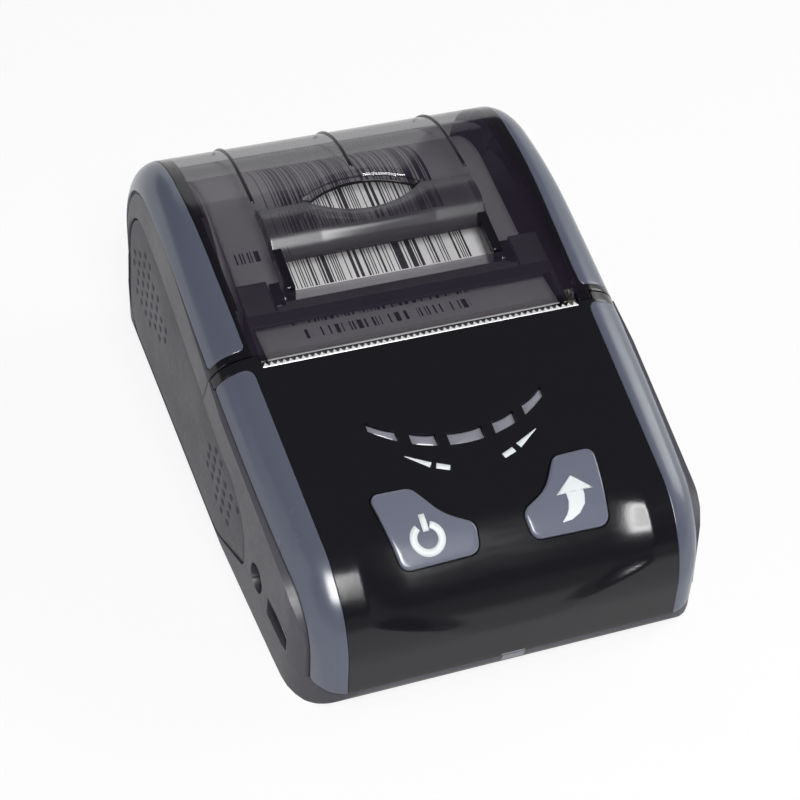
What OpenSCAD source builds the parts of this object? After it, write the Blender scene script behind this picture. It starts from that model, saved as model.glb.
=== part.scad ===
// Portable thermal receipt printer with a smoked flip-up cover, for 57 mm paper rolls.
// Millimetres. X runs left to right seen from the front, Y runs front to back, Z is up.
// The origin is the middle of the flat base.

/* [Body] */
// Length of the housing, front to back
body_len = 119; // [118:0.5:121]
// Height of the base line of the back above the table
body_high = 46; // [45.5:0.5:47]
// Half width of the base at its widest
half_width = 40; // [39.8:0.1:40.6]
// Thickness of the moulded walls
wall = 2; // [1.8:0.1:2.2]
// Running gap between the lid and the body
lid_gap = 0.3; // [0.25:0.05:0.4]

/* [Lid and lever] */
// Height of the lid hinge axis
hinge_z = 14.5; // [14.4:0.1:14.6]
// Radius of the lid hinge barrel
barrel_r = 2.6; // [2.5:0.1:2.6]
// Half width of the lid lever
lever_half = 21; // [20.5:0.25:21.5]
// Height of the lever's bar above the lid
lever_rise = 1.3; // [0.8:0.1:1.6]

/* [Paper] */
// Width of the paper roll
paper_w = 57; // [56:0.5:57.5]
// Radius of the paper roll
roll_r = 18; // [14:0.5:18]
// Radius of the roll's cardboard core
core_r = 6.5; // [6:0.5:7]

/* [Drive] */
// Tooth size of the gears
gear_mod = 0.5; // [0.5:0.1:0.5]
// Teeth of the platen gear
platen_teeth = 18; // [18:2:18]
// Teeth of the small step of the reduction gear
small_teeth = 14; // [14:2:14]
// Teeth of the large step of the reduction gear
large_teeth = 40; // [40:2:40]
// Teeth of the motor pinion
pinion_teeth = 10; // [10:2:10]
// Radius of the rubber platen roller
platen_r = 4; // [3.8:0.1:4]

/* [Panel] */
// How far the buttons stand above the scoop
button_proud = 0.5; // [0.3:0.1:0.8]
// Pitch of the tear bar's teeth
tooth_pitch = 0.86; // [0.8:0.02:1.2]

/* [Hidden] */
$fn = 32;
half_len = body_len / 2;
// Corners of the side outline as y, z and corner radius, from the rear foot over the top
side_corners = [
    [half_len, 0, 8], [half_len, body_high, 23.5], [24, body_high - 0.5, 85],
    [-half_len, 24.8, 16.7], [-half_len, 0, 6]
];
slope_angle = atan((side_corners[2][1] - 24.8) / (24 + half_len));
slope_inward = [sin(slope_angle), -cos(slope_angle)];
// Parting line between the upper and the lower shell, y and z
parting = [[half_len + 1, 11], [-30, 10.3], [-44, 8.6], [-half_len - 1, 5]];
// Corners of the leaf-shaped grip panel
leaf_corners = [
    [52.8, 1.6, 7], [52.8, 33.6, 13], [27, 31.2, 80], [-29.5, 21.6, 12], [-29.2, 8.5, 3.5], [-12, 1.6, 14]
];
// Corners of the plan as x, y and radius, right hand side
plan_corners = [[half_width, half_len, 8], [half_width + 0.1, -16, 0], [half_width - 2.25, -half_len, 12]];
lean_from = 10;
side_lean = 2.6;
// Seam between fixed neighbours
seam = 0.06;
plate_front = 54.6;
lid_front_y = -7.6;
trim_front_y = -5.4;
band_y = -10.8;
tear_y = -9.65;
hinge_y = half_len - barrel_r;
ear_x = 34.6;
pin_r = 1;
pin_bore = 1.02;
lid_floor = 17.5;
panel_steps = 12;
platen_y = -5.3;
platen_z = 30.3;
roll_y = 36;
roll_z = 21.6;
backlash = 0.05;
reduction_y = platen_y;
reduction_z = platen_z - (platen_teeth + small_teeth) * gear_mod / 2 - backlash;
motor_reach = (large_teeth + pinion_teeth) * gear_mod / 2 + backlash;
motor_turn = -67.5;
motor_y = reduction_y + motor_reach * cos(motor_turn);
motor_z = reduction_z + motor_reach * sin(motor_turn);
frame_x = 29.8;
gear_x = 31.2;
gear_w = 1.7;
// Slot of the front cover that the platen lifts out of, and the notch beside it for the platen gear
slot_half = 30.3;
slot_front = tear_y - 0.75;
notch_front = -9.55;
notch_end = 33.25;
button_tilt = 24;
button_at = [0, -46, 26.9];
scoop_from = [-39, 29.9];
scoop_to = [-59.35, 13.2];
scoop_radius = 23;
lever_pivot = [6, 37.6];
lever_pin_r = 0.65;
shaft_r = 1.5;
bush_r = 2.2;
// Round and rectangular sockets on the left side: axis of the one, lowest corner and size of the other
jack_y = -35.4;
jack_z = 11.9;
jack_r = 2.8;
usb_at = [-50, 8.5];
usb_size = [9, 4.2];
screw_x = 33;
screw_ys = [-48.5, 46.5];
screw_r = 1.15;
foot_x = 31;
foot_ys = [-40, 38];
foot_r = 4;
foot_high = 0.6;
board_z = 14.7;
board_thick = 1.4;
battery_half = [25.3, 16.2];
battery_y = -35.2;
battery_z = 2.5;
battery_high = 11;
door_half = 25.9;
door_front = -51.4;
door_gap = 0.4;
door_barrel = 24.4;
door_pin = 26.8;
door_pivot = [-16.4, 1.5];

function unit(v) = v / norm(v);
function flat(v) = [v[0], v[1]];
// Corner b between a and c rounded with radius r in n steps
function round_corner(a, b, c, r, n) =
    let (
        u = unit(a - b),
        v = unit(c - b),
        half = acos(u * v) / 2,
        turn = 180 - 2 * half,
        centre = b + unit(u + v) * r / sin(half),
        s = b + u * r / tan(half) - centre,
        e = b + v * r / tan(half) - centre
    )
    r < 0.02
        ? [b]
        : [for (i = [0:n]) centre + (s * sin((1 - i / n) * turn) + e * sin(i / n * turn)) / sin(turn)];
// Closed outline, listed anticlockwise, moved inward by d, its corner radii changed to suit
function inset(corners, d) = [
    for (i = [0:len(corners) - 1])
    let (
        m = len(corners),
        b = flat(corners[i]),
        u = unit(flat(corners[(i + m - 1) % m]) - b),
        v = unit(flat(corners[(i + 1) % m]) - b),
        outward = cross(v, u) > 0 ? 1 : -1,
        half = acos(u * v) / 2,
        p = b + unit(u + v) * outward * d / sin(half)
    )
    [p[0], p[1], max(corners[i][2] - outward * d, 0)]
];
function corner_points(corners, k, n) =
    let (m = len(corners))
    round_corner(flat(corners[(k + m - 1) % m]), flat(corners[k]), flat(corners[(k + 1) % m]), corners[k][2], n);
function rounded(corners, n) = [for (k = [0:len(corners) - 1]) each corner_points(corners, k, n)];
function side_outline(d) = rounded(inset(side_corners, d), panel_steps);
function slope_z(y) = 24.8 + (y + half_len) * tan(slope_angle);

// Stations along the side outline: each is a point and its inward normal
function corner_stations(k, n) =
    let (at = corner_points(side_corners, k, n), deeper = corner_points(inset(side_corners, 1), k, n))
    [for (i = [0:n]) [at[i], deeper[i] - at[i]]];
function slope_station(y) = [[y, slope_z(y)], slope_inward];
function rear_station(z) = [[half_len, z], [-1, 0]];
function nose_station(z) = [[-half_len, z], [1, 0]];
lid_stations = concat(
    [rear_station(lid_floor)], corner_stations(1, 12), corner_stations(2, 4),
    [slope_station(5), slope_station(trim_front_y)]
);
front_stations = concat(
    [slope_station(band_y), slope_station(-30)], corner_stations(3, 10), [nose_station(9), nose_station(4)]
);
// Half width of the cover, half width of the outer edge of the trim and its depth, at length y
function cover_half(y) = 32.24 + 2.07 * y / 60 - 0.05 * pow(y / 60, 2);
function edge_half(y) =
    let (t = y / 60)
    38.91 + 0.98 * t - 1.51 * t * t + 0.9 * pow(t, 3) + 0.09 * pow(t, 4);
function edge_depth(y) = 4.65 + 0.37 * y / 60 + 0.69 * pow(y / 60, 2);
// Curved section of the trim, as x and depth, thick is measured inward
function trim_section(y, thick) =
    let (
        x0 = cover_half(y),
        x2 = edge_half(y),
        d = edge_depth(y),
        x1 = x0 + 0.74 * (x2 - x0),
        n = 6,
        curve = function(t, shift_x, shift_d) [
            pow(1 - t, 2) * x0 + 2 * t * (1 - t) * (x1 - shift_x / 2) + t * t * (x2 - shift_x),
            2 * t * (1 - t) * (0.1 * d + shift_d) + t * t * d + pow(1 - t, 2) * shift_d
        ]
    )
    concat(
        [for (i = [0:n]) curve(i / n, 0, 0)],
        [for (i = [n:-1:0]) curve(i / n, thick, thick * (1 - pow(i / n, 2)))]
    );
// Side outline point that lies at depth d below a station
function below(s, d) = s[0] + s[1] * d;
lid_edge = [for (s = concat(lid_stations, [slope_station(lid_front_y)])) below(s, edge_depth(s[0][0]))];
front_edge = [
    for (s = concat([slope_station(lid_front_y - lid_gap)], front_stations)) below(s, edge_depth(s[0][0]))
];

// Plan outline moved inward by t
function plan_loop(t) =
    let (left = [for (k = [0:2]) [-plan_corners[k][0], plan_corners[k][1], plan_corners[k][2]]])
    rounded(inset(concat([plan_corners[0]], left, [plan_corners[2], plan_corners[1]]), t), 8);

// Solid between rings that follow one another, each an outer edge and an inner edge of as many points
module loft(rings) {
    n = len(rings[0]);
    m = len(rings);
    sides = [
        for (i = [0:m - 2], j = [0:n - 1])
        let (a = i * n + j, b = i * n + (j + 1) % n)
        each [[a, b, b + n], [a, b + n, a + n]]
    ];
    last = (m - 1) * n;
    caps = [
        for (k = [0:n / 2 - 2])
        let (a = k, b = k + 1, c = n - 2 - k, d = n - 1 - k)
        each [[c, b, a], [d, c, a], [last + a, last + b, last + c], [last + a, last + c, last + d]]
    ];
    polyhedron([for (r = rings) each r], concat(sides, caps), convexity = 6);
}
// Outline given as y and z points, extruded across the printer
module across(width) {
    rotate([90, 0, 90])
        linear_extrude(width, center = true)
            children();
}
module across_from(x, width) {
    translate([x, 0, 0])
        rotate([90, 0, 90])
            linear_extrude(width)
                children();
}
module rod(x, y, z, r, length) {
    translate([x, y, z])
        rotate([0, 90, 0])
            cylinder(r = r, h = length);
}
module both_sides() {
    children();
    mirror([1, 0, 0])
        children();
}
// Upright plate that follows the plan between two insets on the right hand side, leaning inward
module side_plate(outer, inner) {
    translate([half_width, 0, lean_from])
        rotate([0, -side_lean, 0])
            translate([-half_width, 0, -9])
                linear_extrude(45)
                    intersection() {
                        difference() {
                            polygon(plan_loop(outer));
                            polygon(plan_loop(inner));
                        }
                        translate([30.5, -plate_front])
                            square([15, plate_front + half_len + 1]);
                    }
}
module plan_prism(z0, z1, t) {
    translate([0, 0, z0])
        linear_extrude(z1 - z0)
            polygon(plan_loop(t));
}
// Curved corner strip along the given stations, right hand side
module trim_strip(stations, thick) {
    loft([
        for (s = stations) [
            for (p = trim_section(s[0][0], thick)) [p[0], below(s, p[1])[0], below(s, p[1])[1]]
        ]
    ]);
}
module profile_band(outer, inner) {
    difference() {
        polygon(side_outline(outer));
        polygon(side_outline(inner));
    }
}
module above_parting() {
    polygon(concat(parting, [[-half_len - 1, 60], [half_len + 1, 60]]));
}
module below_parting() {
    polygon(concat(parting, [[-half_len - 1, -1], [half_len + 1, -1]]));
}
// Plan wedge between the two trims, from y0 to y1
module cover_wedge(y0, y1) {
    linear_extrude(60)
        polygon([
            [seam - cover_half(y0), y0], [cover_half(y0) - seam, y0], [cover_half(y1) - seam, y1],
            [seam - cover_half(y1), y1]
        ]);
}
// Web inside the wall that ties a cover to the strip beyond its seam
module tie(y0, y1) {
    across_from(31, 2)
        polygon([for (p = [[y0, 0.5], [y1, 0.5], [y1, 1.6], [y0, 1.6]]) below(slope_station(p[0]), p[1])]);
}
module leaf(d) {
    polygon(rounded(inset(leaf_corners, d), 8));
}
// Involute-like gear with n teeth, one tooth centred on angle phase
module gear(n, width, phase, bore) {
    r = n * gear_mod / 2;
    pitch = 360 / n;
    root = r - 1.25 * gear_mod;
    tip = r + 0.95 * gear_mod;
    slack = 0.04 / r * 57.3;
    flanks = [[root, 0.34], [r - 0.4 * gear_mod, 0.3], [r, 0.245], [r + 0.5 * gear_mod, 0.185], [tip, 0.11]];
    tooth = concat(
        [for (f = flanks) [f[0], -f[1] * pitch + slack]],
        [for (i = [len(flanks) - 1:-1:0]) [flanks[i][0], flanks[i][1] * pitch - slack]]
    );
    rotate([90, 0, 90])
        linear_extrude(width)
            difference() {
                polygon([
                    for (k = [0:n - 1], t = tooth)
                    let (a = phase + k * pitch + t[1])
                    t[0] * [cos(a), sin(a)]
                ]);
                circle(r = bore);
            }
}

module bottom_shell() {
    color([0.25, 0.25, 0.27])
        difference() {
            union() {
                difference() {
                    bottom_body(0, 0);
                    bottom_body(wall, wall);
                }
                screw_bosses();
                leaf_backing();
                for (x = [-25.8, 25.8])
                    translate([x, door_pivot[0] + 0.2, 1.9])
                        cube([2.4, 5, 3.4], center = true);
                intersection() {
                    hinge_ears();
                    bottom_body(0, 0);
                }
            }
            leaf_recess();
            translate([-door_half - door_gap, door_front - door_gap, -1])
                cube([2 * (door_half + door_gap), 36.9, 1.01 + wall]);
            rod(-door_pin - 0.4, door_pivot[0], door_pivot[1], 0.85, 2 * door_pin + 0.8);
            for (x = [-screw_x, screw_x], y = screw_ys) {
                translate([x, y, -1])
                    cylinder(r = screw_r, h = 10);
                translate([x, y, -1])
                    cylinder(r = 2.4, h = 2.6);
            }
            for (x = [-foot_x, foot_x], y = foot_ys)
                translate([x, y, -0.5])
                    cylinder(r = foot_r + 0.05, h = 0.5 + foot_high);
            socket_holes();
            hinge_sweep();
            front_tab_solid(0);
        }
}
// Lower half of the body, its foot rounded lengthways and its long edges chamfered
module bottom_body(t, lift) {
    intersection() {
        plan_prism(lift, 12, t);
        across(90)
            intersection() {
                polygon(side_outline(t));
                below_parting();
            }
        rotate([90, 0, 0])
            linear_extrude(140, center = true)
                polygon([
                    [-half_width - 1, 13], [-half_width - 1, 2.4 + t], [-half_width + 1.4 + t / 2, t],
                    [half_width - 1.4 - t / 2, t],
                    [half_width + 1, 2.4 + t], [half_width + 1, 13]
                ]);
    }
}
module screw_bosses() {
    for (x = [-screw_x, screw_x], y = screw_ys)
        translate([x, y, 1])
            cylinder(r = 2.8, h = 7);
}
module leaf_recess() {
    both_sides()
        difference() {
            across_from(half_width - 2.4, 5)
                leaf(-0.1);
            plan_prism(-1, 40, wall - 0.05);
        }
}
// Wall that steps in behind the grip panels
module leaf_backing() {
    intersection() {
        difference() {
            plan_prism(1, 11.5, wall - 0.1);
            plan_prism(0, 12.5, wall + 1.4);
        }
        across(90)
            intersection() {
                leaf(-1.6);
                below_parting();
            }
        both_sides()
            translate([30.5, -60, 0])
                cube([10, 120, 20]);
    }
}
module hinge_ears() {
    both_sides()
        difference() {
            union() {
                rod(ear_x, hinge_y, hinge_z, barrel_r, 37.5 - ear_x);
                across_from(ear_x, 37.5 - ear_x)
                    polygon([
                        [53, 8], [hinge_y, 8], [hinge_y, hinge_z], [hinge_y - barrel_r, hinge_z], [53, 12]
                    ]);
            }
            rod(30, hinge_y, hinge_z, pin_bore, 12);
        }
}
// Room for the lid's rear edge as it turns about the hinge, and the pin's bore
module hinge_sweep() {
    rod(0.1 - ear_x, hinge_y, hinge_z, barrel_r + 1.4, 2 * ear_x - 0.2);
    rod(-38.5, hinge_y, hinge_z, pin_bore, 77);
}
module socket_holes() {
    rod(-45, jack_y, jack_z, jack_r, 9);
    translate([-45, usb_at[0], usb_at[1]])
        cube([9, usb_size[0], usb_size[1]]);
}

module upper_shell() {
    color([0.3, 0.3, 0.33])
        difference() {
            union() {
                both_sides() {
                    intersection() {
                        side_plate(0, wall);
                        across(90)
                            difference() {
                                body_side_view();
                                leaf(-0.1);
                            }
                    }
                    intersection() {
                        side_plate(wall - 0.1, 3.6);
                        across(90)
                            intersection() {
                                leaf(-1.6);
                                translate([-32, 0])
                                    square([85, 60]);
                                above_parting();
                            }
                    }
                }
                difference() {
                    hinge_ears();
                    translate([-50, 40, -1])
                        cube([100, 30, 12.01]);
                }
                translate([-37.4, -21, 19])
                    cube([74.8, 1.5, 9.5]);
            }
            hinge_sweep();
            socket_holes();
        }
}
// Body side below the trim's outer edge and above the parting line, open where the lid comes down
module body_side_view() {
    intersection() {
        polygon(concat(front_edge, [
            [half_len + 1, 4], [half_len + 1, hinge_z - 0.2], [hinge_y, hinge_z - 0.2], [hinge_y, 17.1],
            [40, 17.1], [-3.4, 24], [-3.9, 26.4]
        ]));
        above_parting();
    }
}

module front_trim_right() {
    color([0.42, 0.45, 0.52])
        intersection() {
            trim_strip(front_stations, 1.8);
            across(90)
                above_parting();
        }
}
module front_trim_left() {
    mirror([1, 0, 0])
        front_trim_right();
}
module lid_trim_right() {
    color([0.42, 0.45, 0.52])
        trim_strip(lid_stations, 1.8);
}
module lid_trim_left() {
    mirror([1, 0, 0])
        lid_trim_right();
}

// Arc of the scooped surface around the buttons, as y and z points
function scoop_arc(r) =
    let (
        a = scoop_from,
        b = scoop_to,
        mid = (a + b) / 2,
        half = norm(b - a) / 2,
        out = unit([a[1] - b[1], b[0] - a[0]]),
        centre = mid + out * sqrt(scoop_radius * scoop_radius - half * half),
        first = atan2(a[1] - centre[1], a[0] - centre[0]),
        last = atan2(b[1] - centre[1], b[0] - centre[0])
    )
    [for (i = [0:10]) let (a = first + (last - first) * i / 10) centre + r * [cos(a), sin(a)]];
module scoop_front_view(grow) {
    translate([0, -30, 0])
        rotate([90, 0, 0])
            linear_extrude(40)
                polygon(rounded([
                    [-25.6 - grow, 40, 0], [-25.6 - grow, 18.5 - grow, 5], [0, 9.6 - grow, 30],
                    [25.6 + grow, 18.5 - grow, 5], [25.6 + grow, 40, 0]
                ], 5));
}
module scoop_cut() {
    intersection() {
        across(60)
            polygon(concat(scoop_arc(scoop_radius), [[-70, 13.2], [-70, 50], [scoop_from[0], 50]]));
        scoop_front_view(0);
    }
}
module button_frame() {
    translate(button_at)
        rotate([button_tilt, 0, 0])
            children();
}
// Outlines of the two buttons in the tilted plane of the panel
module power_outline(d) {
    polygon(rounded(inset([
        [-4.6, -7.1, 2.2], [-4, -1.6, 2.4], [-9.2, 1.2, 9], [-13, 7.4, 2.5], [-20.9, 7.6, 1.8], [-19, -7.4, 2.2]
    ], d), 5));
}
module feed_outline(d) {
    mirror([1, 0])
        power_outline(d);
}
module status_windows(d) {
    difference() {
        intersection() {
            translate([0, -8.2])
                circle(r = 25 + d, $fn = 96);
            translate([0, -2.7 - 20])
                square([2 * 16.4 + 2 * d, 26], center = true);
        }
        translate([0, -2.7])
            circle(r = 27.9 - d, $fn = 96);
        for (x = [-10.7, -4.25, 4.25, 10.7])
            translate([x, -30])
                square([2 - 2 * d, 12], center = true);
    }
}
module front_cover() {
    color([0.08, 0.08, 0.09])
        difference() {
            union() {
                difference() {
                    intersection() {
                        across(80)
                            intersection() {
                                profile_band(0, 2.2);
                                above_parting();
                            }
                        cover_wedge(-half_len - 1, lid_front_y - lid_gap);
                    }
                    scoop_cut();
                }
                scoop_pan();
                both_sides()
                    trim_strip([slope_station(lid_front_y - lid_gap), slope_station(band_y)], 1.8);
                both_sides()
                    tie(lid_front_y - lid_gap - 0.3, band_y + 0.3);
            }
            translate([-slot_half, slot_front, 25])
                cube([2 * slot_half, 5, 20]);
            translate([slot_half - 0.3, notch_front, 34])
                cube([notch_end - slot_half + 0.3, 5, 10]);
            button_frame()
                translate([0, 0, -8])
                    linear_extrude(16) {
                        power_outline(0);
                        feed_outline(0);
                    }
            translate([0, 0, 20])
                linear_extrude(30)
                    status_windows(0);
            front_tab_solid(0);
        }
}
module scoop_pan() {
    intersection() {
        across(56)
            difference() {
                polygon(concat(scoop_arc(scoop_radius), [[-57.5, 12], [-50, 12], [-37, 27], [-37.5, 30.2]]));
                polygon(concat(scoop_arc(scoop_radius - 1.6), [[-56.5, 11], [-50, 11], [-36, 26]]));
            }
        intersection() {
            scoop_front_view(1.2);
            across(60)
                polygon(side_outline(0.01));
        }
    }
}

module grip_panel_right() {
    color([0.36, 0.36, 0.4])
        intersection() {
            side_plate(0.45, 1.9);
            across(90)
                leaf(0);
        }
}
module grip_panel_left() {
    mirror([1, 0, 0])
        grip_panel_right();
}

module lid_side_right() {
    color([0.3, 0.3, 0.33])
        intersection() {
            side_plate(0, 1.5);
            across(90)
                difference() {
                    polygon(concat(lid_edge, [[-3.4, 26], [-3, 22], [45, lid_floor]]));
                    leaf(-lid_gap);
                }
        }
}
module lid_side_left() {
    mirror([1, 0, 0])
        lid_side_right();
}

module lid_cover() {
    color([0.3, 0.3, 0.33, 0.6])
        difference() {
            union() {
                intersection() {
                    across(80)
                        difference() {
                            profile_band(0, wall);
                            translate([0, -1])
                                square([200, 2 * hinge_z + 2], center = true);
                        }
                    cover_wedge(lid_front_y, half_len + 1);
                }
                rod(-33.9, hinge_y, hinge_z, barrel_r, 67.8);
                both_sides()
                    trim_strip([slope_station(trim_front_y), slope_station(lid_front_y)], 1.8);
                both_sides()
                    tie(trim_front_y - 0.3, lid_front_y + 0.3);
                both_sides()
                    lever_lug();
                gear_tongue();
            }
            rod(-40, hinge_y, hinge_z, pin_r + 0.05, 80);
            lever_opening();
            for (x = [-21.1, 0, 21.1])
                cover_groove(x);
        }
}
// Tongue of the lid that closes the notch over the platen gear
module gear_tongue() {
    across_from(slot_half + 0.2, notch_end - slot_half - 0.5)
        polygon([
            for (p = [
                [notch_front + 0.3, 0.08], [lid_front_y + 0.3, 0.08], [lid_front_y + 0.3, 1.4], [notch_front + 0.3, 1.4]
            ])
            below(slope_station(p[0]), p[1])
        ]);
}
// Rectangular opening for the lever, with half of the lens-shaped finger hole behind it
module lever_opening() {
    translate([-lever_half - lid_gap, 4.3, 35])
        cube([2 * (lever_half + lid_gap), 24.4 - 4.3, 20]);
    finger_hole(36);
    rod(-24, lever_pivot[0], lever_pivot[1], lever_pin_r + 0.07, 48);
}
module finger_hole(z) {
    translate([0, 0, z])
        linear_extrude(20)
            intersection() {
                translate([0, 24.3 - 13])
                    circle(r = 17.3, $fn = 64);
                translate([0, 24.3 + 13])
                    circle(r = 17.3, $fn = 64);
            }
}
module lever_lug() {
    across_from(21.4, 2)
        polygon([
            [3.4, slope_z(3.4) - 1.5], [8.6, slope_z(8.6) - 1.5], [8.6, lever_pivot[1] - 1.2],
            [6.9, lever_pivot[1] - 1.9], [5.1, lever_pivot[1] - 1.9], [3.4, lever_pivot[1] - 1.2]
        ]);
}
// Thin groove pressed into the rear of the cover
module cover_groove(x) {
    across_from(x - 0.3, 0.6)
        difference() {
            translate([29, 36])
                square([40, 20]);
            polygon(side_outline(0.5));
        }
}

module lid_lever() {
    color([0.35, 0.35, 0.38, 0.6])
        difference() {
            union() {
                intersection() {
                    across(2 * lever_half)
                        lever_bar();
                    translate([-lever_half, 0, 30])
                        cube([2 * lever_half, 24.1, 30]);
                }
                both_sides()
                    across_from(lever_half - 1.8, 1.8)
                        lever_arm();
            }
            finger_hole(30);
            rod(-24, lever_pivot[0], lever_pivot[1], lever_pin_r, 48);
        }
}
module lever_bar() {
    polygon([
        for (p = [
            [24.1, 0.2], [20.5, -lever_rise * 0.8], [18, -lever_rise], [15.6, -lever_rise * 0.7], [14, 0.4],
            [13.3, 1.9], [13.3, 3], [15, 2.9], [19, 2.5], [24.1, 2.4]
        ]) [p[0], lid_top(p[0]) - p[1]]
    ]);
}
// Height of the top outline over the lever
function lid_top(y) = min(slope_z(y), 45.5) - (y > 14.5 ? pow(min(y, 34) - 14.5, 2) / 170 : 0);
module lever_arm() {
    polygon([
        [14.5, lid_top(14.5) - 0.3], [7.6, slope_z(7.6) - 0.25], [5.3, lever_pivot[1] + 1.5],
        [4.8, lever_pivot[1] - 0.6], [5.4, lever_pivot[1] - 1.3], [6.8, lever_pivot[1] - 1.3],
        [14.5, lid_top(14.5) - 2.9]
    ]);
}
module lever_pins() {
    color([0.7, 0.7, 0.72])
        both_sides()
            rod(19.4, lever_pivot[0], lever_pivot[1], lever_pin_r, 3.8);
}

module platen_carrier() {
    color([0.12, 0.12, 0.13])
        union() {
            across(59)
                polygon([
                    for (p = [[2.2, 2.02], [-0.6, 2.02], [-0.6, 2.9], [2.2, 2.9]])
                    [p[0] + slope_inward[0] * p[1], slope_z(p[0]) + slope_inward[1] * p[1]]
                ]);
            both_sides()
                difference() {
                    across_from(28.6, 0.9)
                        union() {
                            polygon([
                                [platen_y - 1.9, slope_z(-7) - 2.3], [4.2, slope_z(4.2) - 2.3], [4.2, 32],
                                [platen_y + 3, 27.6], [platen_y - 1.9, 28]
                            ]);
                            translate([platen_y, platen_z])
                                circle(r = 3);
                        }
                    rod(20, platen_y, platen_z, bush_r, 12);
                }
        }
}
module platen_bushes() {
    color([0.8, 0.78, 0.7])
        both_sides()
            difference() {
                union() {
                    rod(28.6, platen_y, platen_z, bush_r, 0.9);
                    rod(29.5, platen_y, platen_z, 3, 1.5);
                }
                rod(28, platen_y, platen_z, shaft_r + 0.05, 5);
            }
}
module platen_shaft() {
    color([0.7, 0.7, 0.72])
        rod(-31.6, platen_y, platen_z, shaft_r, 64.8);
}
module platen_rubber() {
    color([0.1, 0.1, 0.1])
        difference() {
            rod(-28, platen_y, platen_z, platen_r, 56);
            rod(-29, platen_y, platen_z, shaft_r, 58);
        }
}
module platen_gear() {
    color([0.9, 0.9, 0.88])
        translate([gear_x, platen_y, platen_z])
            gear(platen_teeth, gear_w, 0, shaft_r);
}
module reduction_gear() {
    color([0.9, 0.9, 0.88])
        translate([gear_x, reduction_y, reduction_z]) {
            gear(small_teeth, 2.3, 90, 1.05);
            translate([2.3, 0, 0])
                gear(large_teeth, 1.5, motor_turn, 1.05);
        }
}
module motor_pinion() {
    color([0.8, 0.65, 0.3])
        translate([gear_x + 2.2, motor_y, motor_z])
            gear(pinion_teeth, 1.7, motor_turn + 180 + 18, 0.8);
}
module stepper_motor() {
    color([0.6, 0.6, 0.62])
        union() {
            rod(11, motor_y, motor_z, 8.2, 17);
            rod(28, motor_y, motor_z, 3, 1.8);
            rod(29.8, motor_y, motor_z, 0.75, 5.6);
            translate([28.8, motor_y - 1.5, motor_z - 8])
                cube([1, 3, 16]);
        }
}
module mechanism_frame() {
    color([0.72, 0.73, 0.75])
        union() {
            difference() {
                both_sides()
                    across_from(frame_x, 1)
                        difference() {
                            polygon([
                                [-18, 31.6], [-11.4, 31.6], [-10.4, platen_z], [5, platen_z], [7.5, 24],
                                [7.5, 3.2], [-4, 3.2], [-12.5, 8], [-18, 17.5]
                            ]);
                            translate([platen_y, platen_z])
                                circle(r = 3.3);
                        }
                rod(29, motor_y, motor_z, 3, 3);
            }
            translate([-frame_x, -18, 24])
                cube([2 * frame_x, 1, 7.6]);
            rod(frame_x + 1, reduction_y, reduction_z, 1, 4.4);
        }
}
module print_head() {
    color([0.85, 0.82, 0.75])
        union() {
            translate([-29, tear_y - 1, 25.5])
                cube([58, 1, 8]);
            translate([-29, tear_y - 1.4, 25.5])
                cube([58, 0.4, 1.6]);
        }
}
module head_heatsink() {
    color([0.75, 0.76, 0.78])
        difference() {
            translate([-29.4, tear_y - 3.4, 24.2])
                cube([58.8, 2.4, 9.8]);
            translate([-29.1, tear_y - 1.45, 25.4])
                cube([58.2, 1, 1.8]);
            for (x = [-24:6:24])
                translate([x, tear_y - 3.5, 24])
                    cube([1.6, 1.2, 11]);
        }
}
module head_springs() {
    color([0.8, 0.8, 0.82])
        for (x = [-15, 15])
            translate([x, -17, 29])
                rotate([-90, 0, 0])
                    difference() {
                        cylinder(r = 1.8, h = tear_y - 3.4 + 17);
                        translate([0, 0, -1])
                            cylinder(r = 1.2, h = 9);
                    }
}
module head_cable() {
    color([0.85, 0.8, 0.6])
        across(26)
            polygon([
                [tear_y - 0.95, 25.5], [tear_y - 0.6, 25.5], [tear_y - 0.6, 23.3], [-13.2, 16.5], [-13.9, 16.5],
                [tear_y - 0.95, 23.6]
            ]);
}
module tear_bar() {
    color([0.82, 0.83, 0.85])
        intersection() {
            across(60)
                polygon([
                    [tear_y, slope_z(tear_y) - 0.05], [tear_y - 0.7, slope_z(tear_y - 0.7) - 0.05],
                    [tear_y - 0.7, slope_z(tear_y) - 3.1], [tear_y - 0.1, slope_z(tear_y) - 3.1],
                    [tear_y - 0.1, slope_z(tear_y) - 0.6], [tear_y, slope_z(tear_y) - 0.6]
                ]);
            translate([0, 0, 25])
                linear_extrude(20)
                    tooth_outline();
        }
}
// Plan of the serrated edge, its points toward the paper
module tooth_outline() {
    count = floor(30 / tooth_pitch) * 2;
    polygon(concat(
        [[-30, tear_y - 2], [-30, tear_y - 0.35]],
        [
            for (i = [0:count - 1])
            each [
                [-30 + (i + 0.5) * 60 / count, tear_y],
                [-30 + (i + 1) * 60 / count, tear_y - 0.35]
            ]
        ],
        [[30, tear_y - 2]]
    ));
}

module power_button() {
    color([0.4, 0.43, 0.5])
        button_body()
            power_outline(0.25);
}
module feed_button() {
    color([0.4, 0.43, 0.5])
        button_body()
            feed_outline(0.25);
}
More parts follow.
